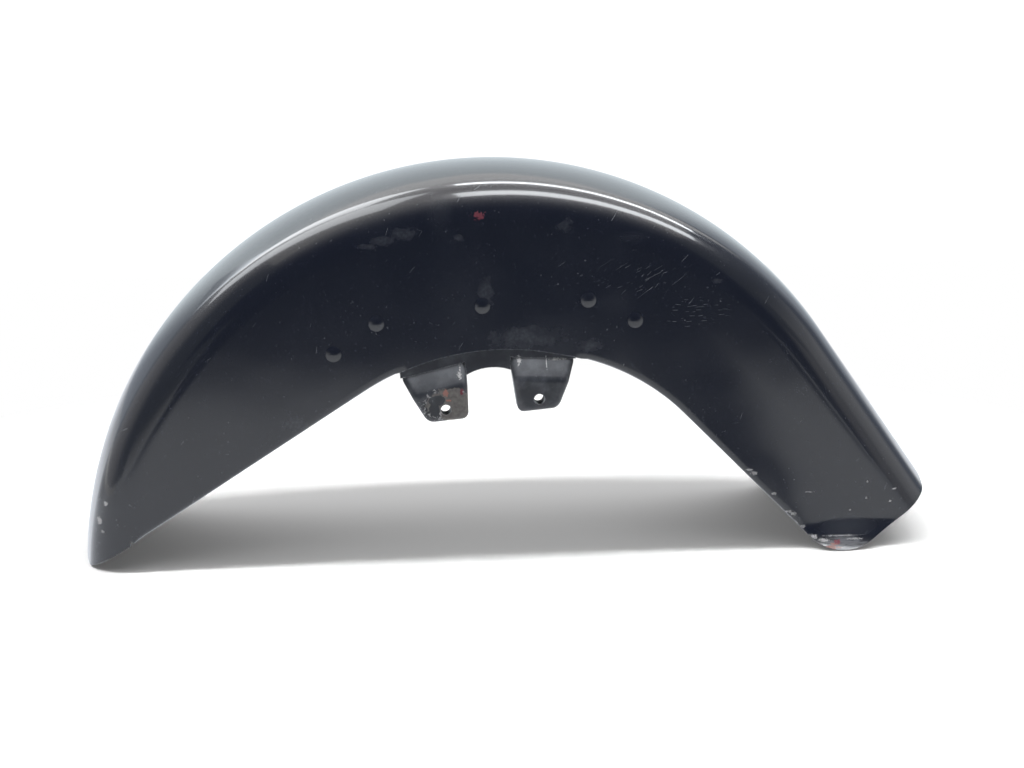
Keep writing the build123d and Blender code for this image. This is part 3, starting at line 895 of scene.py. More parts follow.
LIP_FILM = {"lip bend": ((0.3000, WALL_Y, 0.0200), (0.0420, 0.03, 0.0140))}
LIP_SCUFF = {"lip": ((0.2960, LIP_Y, 0.0070), (0.0250, 0.015, 0.0068))}
SLANTED = {"slanted": ((0.1090, WALL_Y, 0.2530), (0.0520, 0.03, 0.0210))}
LEVEL = {"level": ((0.1550, WALL_Y, 0.2220), (0.0380, 0.03, 0.0180))}


def marks(tree, where, places, ragged, grain, soft):
    """Joins several ragged spots to one mask."""
    look = {"Vector": where, "Ragged": ragged, "Grain": grain, "Soft": soft}
    spots = [use(tree, spot_group, Centre=centre, Reach=reach, **look) for centre, reach in places.values()]
    return strongest(tree, *[spot["Mask"] for spot in spots])


print(sum(len(group) for group in (RED_MARKS, PINK_MARKS, BARE_MARKS, SMEARS, VEILS)), "named marks")

# %% [markdown]
# Dust greys the black in clouds, smears and veils, and fine scratches lie over it. The scratch group makes
# two patches of short lines, slanted ones and level ones, and a few strays all over. Each scratch could be
# drawn by hand, but a scattered pattern keeps its scale from near and far and takes only a few numbers.

# %% Lay out dust and scratches
CRUMB_SIZE = 0.0026
CRUMB_CUT = (0.36, 0.70)
LEAST_CRUMBS = 0.35
SMEAR_LOOK = (1.6, 140.0, 0.9)
VEIL_LOOK = (0.8, 40.0, 0.9)
PATCH_LOOK = (0.9, 45.0, 0.6)
STRAY_STRENGTH = 0.8
SCRATCH_INPUTS = ("Cell", "Length", "Width", "Direction", "Spread", "Share")
SCRATCHES = {
    "short slanted": (0.0055, 0.0085, 0.00028, 0.60, 0.7, 0.55),
    "long slanted": (0.016, 0.030, 0.0003, 0.5, 0.4, 0.75),
    "short level": (0.0050, 0.0075, 0.00028, 0.0, 0.3, 0.55),
    "long level": (0.011, 0.016, 0.0003, 0.03, 0.2, 0.45),
    "stray": (0.034, 0.010, 0.0003, 0.95, 1.0, 0.40),
}


def start(material):
    """Turns a material's nodes on, and returns its tree, its shader and object coordinates."""
    material.use_nodes = True
    tree = material.node_tree
    where = add(tree, "TexCoord").outputs["Object"]
    return tree, tree.nodes["Principled BSDF"], where


def scratches(tree, where, *sorts):
    """Joins sorts of scratches to one mask."""
    inputs = [dict(zip(SCRATCH_INPUTS, SCRATCHES[sort])) for sort in sorts]
    return strongest(tree, *[use(tree, scratch_group, Vector=where, **given)["Mask"] for given in inputs])


tree, shader, where = start(skin_paint)
place = add(tree, "SeparateXYZ", Vector=where).outputs
dust = use(tree, film_group, Vector=where)
crumbs = fade(tree, noise(tree, where, CRUMB_SIZE, 8.0), *CRUMB_CUT)
crumbs = weigh(tree, LEAST_CRUMBS, (crumbs, 1 - LEAST_CRUMBS))
smear = times(tree, marks(tree, where, SMEARS, *SMEAR_LOOK), crumbs)
veil = marks(tree, where, VEILS, *VEIL_LOOK)
slanted = scratches(tree, where, "short slanted", "long slanted")
slanted = times(tree, slanted, marks(tree, where, SLANTED, *PATCH_LOOK))
level = scratches(tree, where, "short level", "long level")
level = times(tree, level, marks(tree, where, LEVEL, *PATCH_LOOK))
stray = times(tree, scratches(tree, where, "stray"), STRAY_STRENGTH)
scratch = strongest(tree, slanted, level, stray)
print("dust and scratches", len(tree.nodes), "nodes")

# %% [markdown]
# The lower edge of the tail wall mirrors another part of the room than the flat wall above it, as if it
# bent outwards long before the lip does, and so does the foot of the lip. Both could be modelled as a curved
# wall. Here they are heights in the bump, in metres, chosen until the reflections matched, so that the wall
# can stay one plain face. The same bump takes the sprayed surface.

# %% Bend the tail in the bump
BAND_WIDTH = 0.066
BAND_HEIGHT = 0.0090
BAND_BEGINS = (0.08, 0.27)
LIP_BEND = 0.0145
LIP_CURL = 0.0030
CURL_BEGINS = (0.24, 0.28)


def sprayed_bump(tree, shader, where, peel, wave, height, pressed=0.0):
    """Bumps a shader with the sprayed surface, and with a pressed shape in metres if there is one."""
    surface = use(tree, spray_group, Vector=where, Peel=peel, Wave=wave)
    metres = maths(tree, "MULTIPLY_ADD", surface["Height"], height, pressed)
    bumped = add(tree, "Bump", Strength=1.0, Distance=1.0, Height=metres).outputs["Normal"]
    dress(tree, shader, Normal=bumped, Coat_Normal=bumped)


edge_normal = ray(90 - TAIL_EDGE_SLOPE)
edge_level = corner_centre.dot(edge_normal) - TAIL_CORNER_RADIUS
above_edge = maths(tree, "SUBTRACT", vector_maths(tree, "DOT_PRODUCT", where, edge_normal), edge_level)
band = maths(tree, "SUBTRACT", 1.0, maths(tree, "DIVIDE", above_edge, BAND_WIDTH), clamp=True)
band = times(tree, band, band, fade(tree, place["X"], *BAND_BEGINS))
curl = maths(tree, "DIVIDE", maths(tree, "SUBTRACT", LIP_BEND, place["Z"]), LIP_BEND, clamp=True)
curl = times(tree, curl, curl, fade(tree, place["X"], *CURL_BEGINS))
pressed = weigh(tree, 0.0, (band, BAND_HEIGHT), (curl, LIP_CURL))
sprayed_bump(tree, shader, where, 0.012, 1.0, 0.0006, pressed)
print("bump rises", BAND_HEIGHT, "m at the wall's edge and", LIP_CURL, "m at the lip")

# %% [markdown]
# Paint wears first along the sheet's edge. The number that the mesh carries there, times a noise, breaks off
# chips, and more of them near the lip. Over the bracket, and faintly along the tail, a fine light line is
# painted on the edge as the highlight of the rolled edge. The lip itself is scuffed in level streaks.

# %% Wear the edges and paint their highlight
STREAK_STRETCH = (1, 1, 9)
STREAK_SIZE = 0.009
STREAK_CUT = (0.36, 0.62)
SCUFF_LOOK = (0.9, 160.0, 0.35)
EDGE_GRAIN = 0.0024
CHIP_CUT = (0.60, 0.66)
LIP_CHIP_CUT = (0.42, 0.50)
CLEAR_OF_BRACKET = (0.12, 0.2)
LIP_BEGINS = (0.244, 0.256)
LIP_ENDS = (0.290, 0.270)
# Painted highlight: where a fine light line is painted along the rolled edge, over the bracket and faintly
# towards the tail.
HIGHLIGHT_OVER_BRACKET = (0.11, 0.07)
HIGHLIGHT_TOWARDS_TAIL = (0.12, 0.24)
HIGHLIGHT_TAIL_SHARE = 0.25
LINE_CUT = (0.80, 0.96)
LINE_GAPS = (0.25, 0.7)

streaks = noise(tree, vector_maths(tree, "MULTIPLY", where, STREAK_STRETCH), STREAK_SIZE, 5.0)
scuffed = times(tree, marks(tree, where, LIP_SCUFF, *SCUFF_LOOK), fade(tree, streaks, *STREAK_CUT))
edge = add(tree, "Attribute", {"attribute_name": "edge_wear"}).outputs["Fac"]
edge_noise = noise(tree, where, EDGE_GRAIN, 5.0)
broken = times(tree, edge, edge_noise)
from_notch = maths(tree, "ABSOLUTE", maths(tree, "SUBTRACT", place["X"], NOTCH_CENTRE))
edge_chips = times(tree, fade(tree, broken, *CHIP_CUT), fade(tree, from_notch, *CLEAR_OF_BRACKET))
near_lip = times(tree, fade(tree, place["X"], *LIP_BEGINS), fade(tree, place["X"], *LIP_ENDS))
lip_chips = times(tree, fade(tree, broken, *LIP_CHIP_CUT), near_lip)
# The painted highlight of the rolled edge, broken into dashes by the edge noise.
tail_highlight = times(tree, fade(tree, place["X"], *HIGHLIGHT_TOWARDS_TAIL), HIGHLIGHT_TAIL_SHARE)
highlight_places = strongest(tree, fade(tree, from_notch, *HIGHLIGHT_OVER_BRACKET), tail_highlight)
edge_highlight = times(tree, fade(tree, edge, *LINE_CUT), fade(tree, edge_noise, *LINE_GAPS), highlight_places)
print("worn edges", len(tree.nodes), "nodes")

# %% [markdown]
# Now the layers are joined. Everything that lies on the black, dust and scuffs and the painted highlight of
# the edge, adds up to one grey film, each layer with its own amount. Scratches, pink, bare steel and red
# then cover it in that order. Where the paint is gone, the surface is rougher and has no lacquer.

# %% Join the layers of the black paint
BLACK = (0.0038, 0.0044, 0.0082, 1)
RED_COAT = (0.16, 0.030, 0.045, 1)
PINK_COAT = (0.34, 0.16, 0.13, 1)
BARE_STEEL = (0.42, 0.42, 0.43, 1)
DUST = (0.30, 0.315, 0.345, 1)
RED_LOOK = (3.0, 560.0, 0.2)
PINK_LOOK = (1.6, 300.0, 0.5)
CHIP_LOOK = (2.6, 1050.0, 0.4)
SCRATCH_DEPTH = 0.8
SCUFF_DEPTH = 0.6
GONE_ROUGHNESS = 0.55
BASE_ROUGHNESS = 0.24
DUST_ROUGHNESS = 1.5
LACQUER_ROUGHNESS = 0.07
LACQUER_IOR = 1.5

red = marks(tree, where, RED_MARKS, *RED_LOOK)
pink = marks(tree, where, PINK_MARKS, *PINK_LOOK)
bare = strongest(tree, marks(tree, where, BARE_MARKS, *CHIP_LOOK), edge_chips, lip_chips)
lip_film = marks(tree, where, LIP_FILM, *VEIL_LOOK)
# The film takes the painted edge highlight as well as dust and scuffs.
on_black = ((dust["Film"], 0.012), (smear, 0.125), (veil, 0.022), (lip_film, 0.07), (dust["Specks"], 0.55))
film = weigh(tree, 0.0, *on_black, (edge_highlight, 0.45), (scuffed, 0.38))
colour = blend(tree, film, BLACK, DUST)
worn_through = ((pink, 0.7, PINK_COAT), (bare, 0.8, BARE_STEEL), (red, 1.0, RED_COAT))
colour = cover(tree, colour, (scratch, 0.52, DUST), *worn_through)
part_gone = (times(tree, scratch, SCRATCH_DEPTH), times(tree, scuffed, SCUFF_DEPTH))
gone = strongest(tree, bare, red, pink, *part_gone)
rough = weigh(tree, BASE_ROUGHNESS, (film, DUST_ROUGHNESS))
rough = strongest(tree, rough, times(tree, gone, GONE_ROUGHNESS))
lacquer = maths(tree, "SUBTRACT", 1.0, gone, clamp=True)
dress(tree, shader, Base_Color=colour, Roughness=rough, Coat_Weight=lacquer)
dress(tree, shader, Coat_Roughness=LACQUER_ROUGHNESS, Coat_IOR=LACQUER_IOR)
print("black paint", len(tree.nodes), "nodes")

# %% [markdown]
# ## The inside paint
#
# The inside got one thin coat and has taken road grit since. It is duller and browner than the outside and
# has no lacquer. The same dust group serves here with coarser clouds, and the orange peel is stronger.

# %% Mix the inside paint
INSIDE_BLACK = (0.014, 0.014, 0.015, 1)
ROAD_GRIT = (0.20, 0.18, 0.16, 1)
INSIDE_ROUGHNESS = 0.42
tree, shader, where = start(inner_paint)
dust = use(tree, film_group, Vector=where, Cloud=9.0, Speck=500.0)
grit = weigh(tree, 0.0, (dust["Film"], 0.10), (dust["Specks"], 0.5))
colour = blend(tree, grit, INSIDE_BLACK, ROAD_GRIT)
dress(tree, shader, Base_Color=colour, Roughness=weigh(tree, INSIDE_ROUGHNESS, (grit, 1.0)))
sprayed_bump(tree, shader, where, 0.25, 1.0, 0.0008)
print("inside paint", len(tree.nodes), "nodes")

# %% [markdown]
# ## The rivet paint
#
# The rivets were painted with the sheet, so their heads have the same black and the same lacquer. A head is
# too small for smears, so only the dust film and its specks are placed on it, at a finer scale.

# %% Mix the rivet paint
RIVET_ROUGHNESS = 0.28
tree, shader, where = start(rivet_paint)
dust = use(tree, film_group, Vector=where, Cloud=60.0, Speck=700.0)
film = weigh(tree, 0.0, (dust["Film"], 0.02), (dust["Specks"], 0.12))
colour = blend(tree, film, BLACK, DUST)
dress(tree, shader, Base_Color=colour, Roughness=weigh(tree, RIVET_ROUGHNESS, (film, 1.0)))
dress(tree, shader, Coat_Weight=1.0, Coat_Roughness=LACQUER_ROUGHNESS)
sprayed_bump(tree, shader, where, 0.05, 0.3, 0.0006)
print("rivet paint", len(tree.nodes), "nodes")

# %% [markdown]
# ## The bracket paint
#
# The brackets keep their CAD shape and only get a finish. Fork bolts and washers have rubbed their paint:
# the front tab on the left is down to primer, with a shred of the red coat, and the rear one is greyed
# with white scrapes. Rounded edges wear first. The Bevel node bends the normal near an edge, and how far
# it bends tells where an edge is.

# %% Marks on the left bracket
TAB_Y = bolt_middle.y
PRIMED = {"front pad": ((-0.0572, TAB_Y, 0.1478), (0.0205, 0.02, 0.0150))}
PAD_RIM = {"front pad rim": ((-0.0604, TAB_Y, 0.1458), (0.0236, 0.02, 0.0150))}
PATCH = {
    "paint left": ((-0.0700, TAB_Y, 0.1516), (0.0075, 0.02, 0.0052)),
    "paint below": ((-0.0722, TAB_Y, 0.1420), (0.0050, 0.02, 0.0110)),
}
PINK = {
    "pink shred": ((-0.0622, TAB_Y, 0.1578), (0.0026, 0.02, 0.0032)),
    "pink fleck": ((-0.0600, TAB_Y, 0.1515), (0.0026, 0.02, 0.0010)),
}
REDDISH = {"red shred": ((-0.0486, TAB_Y, 0.1592), (0.0018, 0.02, 0.0032))}
# The front corner mark is a painted highlight where the tab's rounded corner catches the light; the rest are
# scrapes.
SCRAPES_AND_GLINT = {
    "front corner": ((-0.0500, TAB_Y, 0.1722), (0.0022, 0.03, 0.0034)),
    "front edge": ((-0.0494, TAB_Y, 0.1765), (0.0008, 0.03, 0.0050)),
    "rear scrape": ((0.0255, TAB_Y, 0.1805), (0.0006, 0.03, 0.0056)),
    "rear rub": ((0.0350, TAB_Y, 0.1828), (0.0075, 0.03, 0.0013)),
    "rear corner": ((0.0015, TAB_Y, 0.1830), (0.0024, 0.03, 0.0050)),
    "beside the hole": ((-0.0668, TAB_Y, 0.1400), (0.0012, 0.02, 0.0036)),
}

print(sum(len(group) for group in (PRIMED, PAD_RIM, PATCH, PINK, REDDISH, SCRAPES_AND_GLINT)), "named marks")

# %% [markdown]
# What faces upwards near the wall is lighter: settled dust, and a painted sheen of the light from above.
# Hands have greyed what lies below. The primer on the front pad is mottled, and a broken rim of bare metal
# runs round it.

# %% Mix the bracket paint
BRACKET_UP = Vector((-math.sin(BRACKET_TILT), 0, math.cos(BRACKET_TILT)))
BRACKET_BLACK = (0.008, 0.009, 0.012, 1)
PRIMER_DARK = (0.05, 0.047, 0.045, 1)
PRIMER_PALE = (0.24, 0.225, 0.21, 1)
RUBBED_EDGE = (0.36, 0.37, 0.39, 1)
SCRAPE_AND_GLINT_GREY = (0.5, 0.5, 0.5, 1)
EDGE_RADIUS = 0.0016
EDGE_SAMPLES = 6
EDGE_TURN = (0.985, 0.90)
MOTTLE_SIZE = 0.003
RUB_CUT = (0.30, 0.58)
FACES_UP = (0.20, 0.75)
NEAR_WALL = (0.013, 0.031)
BELOW_WALL = (0.036, 0.030)
RIM_SIZE = 0.0022
RIM_CUT = (0.46, 0.66)
LEAST_HANDLED = 0.4
LEAST_DUST = 0.02
BRACKET_ROUGHNESS = 0.30
THIN_COAT = 0.4
THIN_COAT_ROUGHNESS = 0.22

bracket_paint = bpy.data.materials.new("bracket paint")
tree, shader, where = start(bracket_paint)
dust = use(tree, film_group, Vector=where, Cloud=40.0, Speck=600.0)
true_normal = add(tree, "NewGeometry").outputs["Normal"]
upward = add(tree, "SeparateXYZ", Vector=true_normal).outputs["Z"]
bent = add(tree, "Bevel", {"samples": EDGE_SAMPLES}, Radius=EDGE_RADIUS).outputs[0]
turned_by = vector_maths(tree, "DOT_PRODUCT", true_normal, bent)
patchy = fade(tree, noise(tree, where, MOTTLE_SIZE, 4.0), *RUB_CUT)
rubbed = times(tree, fade(tree, turned_by, *EDGE_TURN), patchy)
from_bolts = vector_maths(tree, "SUBTRACT", where, bolt_middle)
above_bolts = vector_maths(tree, "DOT_PRODUCT", from_bolts, BRACKET_UP)
# Up-facing faces near the wall: settled dust together with a painted sheen of the light from above.
settled_dust_and_sheen = times(tree, fade(tree, upward, *FACES_UP), fade(tree, above_bolts, *NEAR_WALL))
handled = times(tree, fade(tree, above_bolts, *BELOW_WALL), maths(tree, "ADD", dust["Film"], LEAST_HANDLED))
on_black = ((dust["Film"], 0.10), (dust["Specks"], 0.35), (handled, 0.08), (settled_dust_and_sheen, 0.24))
film = weigh(tree, LEAST_DUST, *on_black)
pad = marks(tree, where, PRIMED, 0.9, 160.0, 0.1)
primer = maths(tree, "SUBTRACT", pad, marks(tree, where, PATCH, 0.9, 260.0, 0.15), clamp=True)
mottled = blend(tree, noise(tree, where, MOTTLE_SIZE, 5.0), PRIMER_DARK, PRIMER_PALE)
pad_rim = maths(tree, "SUBTRACT", marks(tree, where, PAD_RIM, 1.2, 260.0, 0.1), pad, clamp=True)
pad_rim = times(tree, pad_rim, fade(tree, noise(tree, where, RIM_SIZE, 5.0), *RIM_CUT))
pink = marks(tree, where, PINK, 1.8, 420.0, 0.3)
red = marks(tree, where, REDDISH, 1.2, 420.0, 0.3)
# Scrapes, the bare rim, and the painted highlight on the front tab's corner.
scraped_and_glint = strongest(tree, marks(tree, where, SCRAPES_AND_GLINT, 2.6, 620.0, 0.5), pad_rim)
colour = cover(
    tree,
    blend(tree, film, BRACKET_BLACK, DUST),
    (primer, 1.0, mottled),
    (rubbed, 0.70, RUBBED_EDGE),
    (pink, 1.0, PINK_COAT),
    (red, 1.0, RED_COAT),
    (scraped_and_glint, 0.8, SCRAPE_AND_GLINT_GREY),
)
worn = strongest(tree, primer, scraped_and_glint)
lacquer = maths(tree, "SUBTRACT", THIN_COAT, worn, clamp=True)
dress(tree, shader, Base_Color=colour, Roughness=weigh(tree, BRACKET_ROUGHNESS, (worn, 0.4)))
dress(tree, shader, Coat_Weight=lacquer, Coat_Roughness=THIN_COAT_ROUGHNESS)
sprayed_bump(tree, shader, where, 0.10, 0.5, 0.0006)
print("bracket paint", len(tree.nodes), "nodes")

# %% [markdown]
# ## The collar steel
#
# The collars behind the bolt holes are turned from bare steel and dulled by handling and old oil. Clean
# metal would look new, so a blotchy stain darkens and roughens it.

# %% Mix the collar steel
TURNED_STEEL = (0.16, 0.16, 0.165, 1)
OIL_STAIN = (0.05, 0.045, 0.042, 1)
STAIN_SIZE = 0.004
STAIN_CUT = (0.40, 0.65)
COLLAR_ROUGHNESS = 0.38
collar_steel = bpy.data.materials.new("collar steel")
tree, shader, where = start(collar_steel)
stain = fade(tree, noise(tree, where, STAIN_SIZE, 5.0), *STAIN_CUT)
colour = blend(tree, stain, TURNED_STEEL, OIL_STAIN)
dress(tree, shader, Base_Color=colour, Roughness=weigh(tree, COLLAR_ROUGHNESS, (stain, 0.3)), Metallic=0.8)
sprayed_bump(tree, shader, where, 0.2, 0.2, 0.0004)
print("collar steel", len(tree.nodes), "nodes")

# %% [markdown]
# ## Finishing the CAD pieces
#
# Brackets and collars are already the right shape, so their objects stay as they were loaded. Only what is
# in their material slots changes, on both sides of the mudguard.

# %% Give the CAD pieces their finish
CAD_FINISHES = {"fork_bracket": bracket_paint, "mount_collars": collar_steel}
for side in ("left", "right"):
    for piece_name, material in CAD_FINISHES.items():
        node = frame["nodes"][side + "_" + piece_name]
        for slot in node.material_slots:
            slot.material = material
        print(node.name, len(node.material_slots), "slot,", material.name)

# %% [markdown]
# ## Floor and background
#
# The photograph is a white studio shot: the floor runs into the background, and only the shadow stays.
# Near the mudguard the camera sees plain white paper that takes the shadow. Further out it fades into a flat
# white, so that no edge of the paper shows. Reflections see a flat, slightly cool white instead, which is
# dimmer behind both ends.

# %% Helpers for the stage
def sheet_object(name, corner_low, corner_high, lift, material):
    """Flat stage sheet between two corners, in the XY plane."""
    bm = bmesh.new()
    bmesh.ops.create_grid(bm, x_segments=1, y_segments=1, size=0.5)
    size = Vector((corner_high[0] - corner_low[0], corner_high[1] - corner_low[1], 1))
    middle = Vector(((corner_low[0] + corner_high[0]) / 2, (corner_low[1] + corner_high[1]) / 2, lift))
    bmesh.ops.scale(bm, verts=bm.verts[:], vec=size)
    bmesh.ops.translate(bm, verts=bm.verts[:], vec=middle)
    sheet = object_from(bm, name, material)
    return sheet


def shown_rays(tree):
    """1 for rays from the camera, from a reflection or through glass, and 0 for the light on surfaces."""
    path = add(tree, "LightPath").outputs
    mirrored = maths(tree, "ADD", path["Is Glossy Ray"], path["Is Transmission Ray"], clamp=True)
    return maths(tree, "ADD", path["Is Camera Ray"], mirrored, clamp=True)


print("stage helpers ready")

# %% [markdown]
# One material does all of this. It mixes the lit paper, which glows faintly, with a plain white, by the kind
# of ray and by the distance from the middle of the floor.

# %% Lay the floor
FLOOR_FRONT = -0.48
FLOOR_BACK = 1.2
FLOOR_HALF = 1.3
PAPER = 0.93
PAPER_GLOW = 0.05
PAPER_IN_PAINT = 0.98
DIM_BEHIND = 0.45
BESIDE = (0.45, 0.90)
BEHIND = (0.0, 0.25)
FADE_STRETCH = (1.25, 1.6, 0)
FADE_OUT = (0.62, 0.95)
COOL_PAPER = (0.89, 0.93, 1.0, 1)

paper = bpy.data.materials.new("white paper")
tree, shader, where = start(paper)
dress(tree, shader, Base_Color=(PAPER, PAPER, PAPER, 1), Roughness=0.9, Specular_IOR_Level=0.0)
path = add(tree, "LightPath").outputs
seen = path["Is Camera Ray"]
mirrored = maths(tree, "SUBTRACT", shown_rays(tree), seen, clamp=True)
place = add(tree, "SeparateXYZ", Vector=where).outputs
glow = add(tree, "Emission", Strength=times(tree, seen, PAPER_GLOW)).outputs[0]
sideways = maths(tree, "ABSOLUTE", place["X"])
behind = times(tree, fade(tree, sideways, *BESIDE), fade(tree, place["Y"], *BEHIND))
in_paint = maths(tree, "SUBTRACT", PAPER_IN_PAINT, times(tree, behind, DIM_BEHIND))
tint = blend(tree, seen, COOL_PAPER, (1, 1, 1, 1))
white_out = add(tree, "Emission", Color=tint, Strength=strongest(tree, seen, in_paint)).outputs[0]
lit = add(tree, "AddShader")
tree.links.new(shader.outputs[0], lit.inputs[0])
tree.links.new(glow, lit.inputs[1])
far = vector_maths(tree, "LENGTH", vector_maths(tree, "MULTIPLY", where, FADE_STRETCH))
share = strongest(tree, times(tree, fade(tree, far, *FADE_OUT), seen), mirrored)
mixed = add(tree, "MixShader", Fac=share)
tree.links.new(lit.outputs[0], mixed.inputs[1])
tree.links.new(white_out, mixed.inputs[2])
tree.links.new(mixed.outputs[0], tree.nodes["Material Output"].inputs["Surface"])
floor = sheet_object("floor", (-FLOOR_HALF, FLOOR_FRONT), (FLOOR_HALF, FLOOR_BACK), CAD_LOW.z, paper)
print("floor", [round(v, 2) for v in floor.dimensions])

# %% [markdown]
# ## The world around the floor
#
# Rays that miss everything see white, as in a studio with a white sweep. The light that the world throws on
# surfaces is set apart from that. It is weak in front and stronger behind, because the shadow in the
# photograph is deep on the near side and opens up towards the back.

# %% Set the world
FILL_FRONT = 0.12
FILL_BACK = 1.15
world = bpy.data.worlds.new("studio")
scene.world = world
world.use_nodes = True
tree = world.node_tree
tree.nodes["Background"].inputs["Color"].default_value = (1, 1, 1, 1)
heading = add(tree, "TexCoord").outputs["Generated"]
backwards = fade(tree, add(tree, "SeparateXYZ", Vector=heading).outputs["Y"], -0.4, 0.5)
fill_light = maths(tree, "MULTIPLY_ADD", backwards, FILL_BACK - FILL_FRONT, FILL_FRONT)
strength = strongest(tree, shown_rays(tree), fill_light)
tree.links.new(strength, tree.nodes["Background"].inputs["Strength"])
print("world fill", FILL_FRONT, "in front and", FILL_BACK, "behind")

# %% [markdown]
# ## Cards for the reflections
#
# Black gloss paint shows the room more than itself, so cards stand in for the room, and only reflections
# see them. A card glows by itself, so that no lamp changes it. Its material goes from one colour to another,
# because the room had no hard borders.

# %% Helpers for cards
SLANT_FROM = 0.27
SLANT_SIDE = (0.2, -0.2)


def only_reflected(card):
    """Hides a card from everything but reflections."""
    for ray_kind in ("camera", "diffuse", "transmission", "volume_scatter", "shadow"):
        setattr(card, "visible_" + ray_kind, False)


def card_paint(name, axis, colour, colour_at, other, other_at, wings=None, slant=0.0):
    """Glowing material that goes from one colour to another along an axis.

    Wings bring in the other colour on both sides of a middle. A slant moves the colours with height on the
    nose side.
    """
    material = bpy.data.materials.new(name)
    tree, shader, where = start(material)
    place = add(tree, "SeparateXYZ", Vector=where).outputs
    along = maths(tree, "ABSOLUTE", place["X"]) if axis == "X" else place[axis]
    if slant:
        lifted = maths(tree, "SUBTRACT", place["Z"], SLANT_FROM)
        lifted = times(tree, lifted, fade(tree, place["X"], *SLANT_SIDE))
        along = maths(tree, "MULTIPLY_ADD", lifted, -slant, along)
    share = fade(tree, along, colour_at, other_at)
    if wings:
        wing_axis, middle, begin, end = wings
        from_middle = maths(tree, "ABSOLUTE", maths(tree, "SUBTRACT", place[wing_axis], middle))
        share = strongest(tree, share, fade(tree, from_middle, begin, end))
    glow = add(tree, "Emission", Color=blend(tree, share, colour, other))
    tree.links.new(glow.outputs[0], tree.nodes["Material Output"].inputs["Surface"])
    return material


def upright_card(name, half, span, material, place, turn_degrees=0.0):
    """Card that stands between two heights, turned about the vertical and moved to its place."""
    card = sheet_object(name, (-half, span[0]), (half, span[1]), 0, material)
    stand = Matrix.Rotation(math.radians(90), 4, "X")
    swing = Matrix.Rotation(math.radians(turn_degrees), 4, "Z")
    card.data.transform(Matrix.Translation(place) @ swing @ stand)
    only_reflected(card)
    return card


print("card helpers ready")

# %% [markdown]
# The room was bright overhead, dark behind the camera and dim at both ends, and the white paper ended a
# little in front of the object. So there is an apron that fades from white to dark where the paper ends, a
# card in front that is dark below and light above, a backdrop that is white in its middle and whose white
# spreads as it rises on the nose side, a grey card at each end, and a low card in each front corner. The
# tail's corner is dark beside the front card and lighter away from it, which draws a dark band along the
# shoulder.

# %% Stand the cards
ROOM = (0.09, 0.115, 0.19, 1)
DUSK = (0.20, 0.23, 0.29, 1)
DIM = (0.30, 0.33, 0.38, 1)
GREY = (0.50, 0.51, 0.55, 1)
SOFT = (0.70, 0.72, 0.76, 1)
BACKDROP = (0.76, 0.84, 0.89, 1)
PAPER_WHITE = (0.87, 0.91, 0.98, 1)
APRON_END = -0.92
CARD_Y = -1.75
CARD_HALF = 3.2
FRONT_SPAN = (-1.4, 5.6)
BACK_Y = 1.2
BACK_SPAN = (0.0, 1.15)
BACK_SLANT = 0.6
END_HALF = 1.6
END_SPAN = (0.0, 2.2)
END_X = 1.9
END_Y = -0.2
CORNER_HALF = 0.75
CORNER_SPAN = (-0.1, 0.55)
CORNER_X = 1.55
CORNER_Y = -1.25
CORNER_TURN = 42

apron_paint = card_paint("apron", "Y", ROOM, APRON_END, PAPER_WHITE, FLOOR_FRONT, ("X", 0.0, 0.55, 1.15))
apron = sheet_object("apron", (-CARD_HALF, CARD_Y), (CARD_HALF, FLOOR_FRONT), CAD_LOW.z, apron_paint)
only_reflected(apron)
front_paint = card_paint("dark front", "Z", ROOM, 1.3, SOFT, 4.6)
upright_card("dark front", CARD_HALF, FRONT_SPAN, front_paint, (0, CARD_Y, 0))
back_paint = card_paint("backdrop", "X", BACKDROP, 0.61, DIM, 1.05, slant=BACK_SLANT)
upright_card("backdrop", CARD_HALF, BACK_SPAN, back_paint, (0, BACK_Y, 0))
nose_corner = card_paint("nose corner", "Z", SOFT, 0.0, DUSK, 0.26)
tail_corner = card_paint("tail corner", "Z", ROOM, 0.0, GREY, -0.5, ("X", 0.0, 1.38, 1.70))
nose_paint = card_paint("dim nose end", "Y", DUSK, -0.55, GREY, 0.10)
tail_paint = card_paint("dim tail end", "Z", SOFT, 0.45, DUSK, 1.30, ("Y", -0.25, 0.30, 0.95))
ends = (("nose", -1.0, nose_paint, nose_corner), ("tail", 1.0, tail_paint, tail_corner))
for side, x, end_paint, corner_paint in ends:
    upright_card(side + " card", END_HALF, END_SPAN, end_paint, (END_X * x, END_Y, 0), 90)
    corner_place = (CORNER_X * x, CORNER_Y, 0)
    upright_card(side + " corner", CORNER_HALF, CORNER_SPAN, corner_paint, corner_place, CORNER_TURN * x)

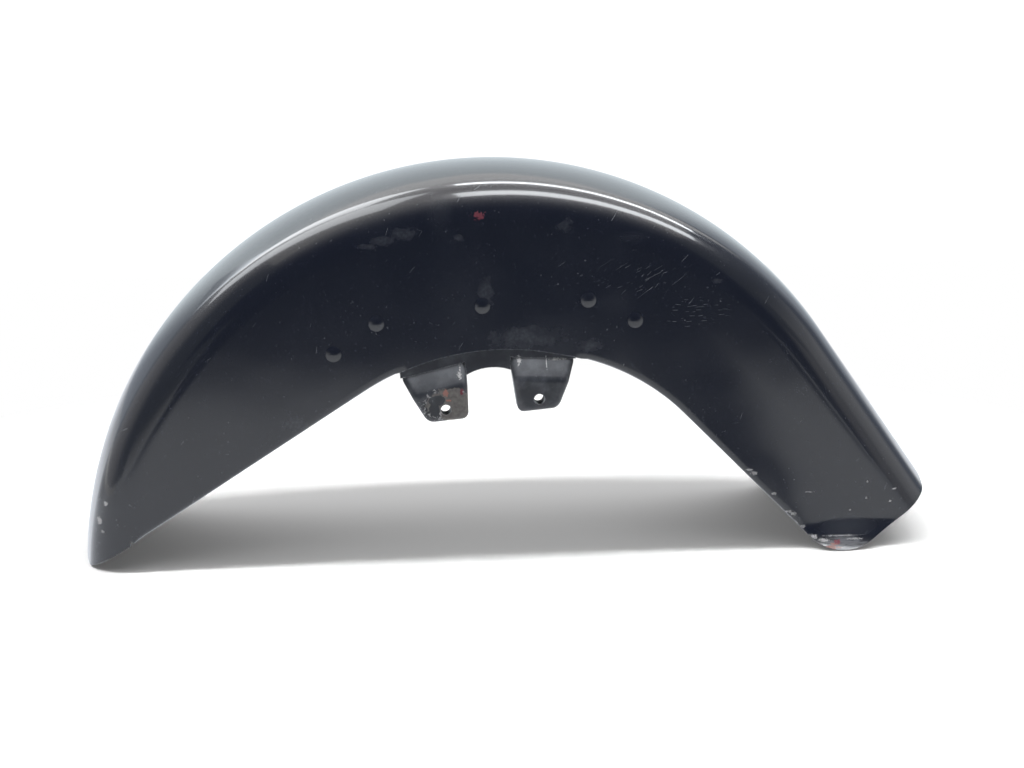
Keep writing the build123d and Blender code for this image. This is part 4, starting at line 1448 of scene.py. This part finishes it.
# %% [markdown]
# ## Lamps
#
# A long tube above the near side throws the shadow straight down, so it starts under the near wall, and a
# broad soft panel in front opens it up. The paint mirrors other lamps: two long tubes overhead draw the twin
# white lines along the shoulder, and a second, dimmer pair goes on behind a gap towards the nose. The tubes
# only show in reflections, so that each effect can be set by itself. Below the far tube's nose end
# a small card with a bright upper half carries its reflection further down. A lamp's brightness is its
# power over its area and pi, so power is worked out from the brightness wanted.

# %% Hang the lamps
LAMP_HEIGHT = 1.6
NOSE_LAMP_HEIGHT = 1.3
PANEL_HEIGHT = 1.9
LAMP_TINT = (0.94, 0.97, 1.0)
LOW_END_GLOW = (2.9, 3.1, 3.3, 1)
LOW_END_SPAN = (0.60, 1.14)


def hang(name, middle, length, width, brightness, turn_degrees=0.0):
    """Area lamp that faces down, with its length along X before it is turned."""
    data = bpy.data.lights.new(name, "AREA")
    data.shape = "RECTANGLE"
    data.size = length
    data.size_y = width
    data.energy = brightness * math.pi * length * width
    data.color = LAMP_TINT
    lamp = bpy.data.objects.new(name, data)
    lamp.location = middle
    lamp.rotation_euler = (0, 0, math.radians(turn_degrees))
    scene.collection.objects.link(lamp)
    print(name, round(data.energy, 1), "W")
    return lamp


tubes = (
    hang("near tube", (0.67, -0.20, LAMP_HEIGHT), 1.56, 0.32, 8.5, 7),
    hang("far tube", (0.69, 0.70, LAMP_HEIGHT), 1.56, 0.20, 13),
    hang("near tube, nose end", (-1.03, 0.385, NOSE_LAMP_HEIGHT), 1.65, 0.45, 3.5, -30),
    hang("far tube, nose end", (-1.07, 1.30, LAMP_HEIGHT), 1.75, 0.58, 4.0, -42),
)
for tube in tubes:
    tube.visible_diffuse = False
low_paint = card_paint("low end of the far tube", "Z", DIM, 0.70, LOW_END_GLOW, 1.0)
upright_card("low end of the far tube", 0.27, LOW_END_SPAN, low_paint, (-1.18, BACK_Y - 0.05, 0))
key = hang("key tube", (0.0, -0.17, PANEL_HEIGHT - 0.2), 3.4, 0.14, 24)
panel = hang("soft panel", (0.0, -0.75, PANEL_HEIGHT), 3.2, 1.4, 0.9)
for lamp in (key, panel):
    lamp.visible_glossy = False
    lamp.data.color = (1, 1, 1)

# %% [markdown]
# ## Finish
#
# The last cell brings the scene's view layer up to date.

# %% Finish
scene.view_layers[0].update()
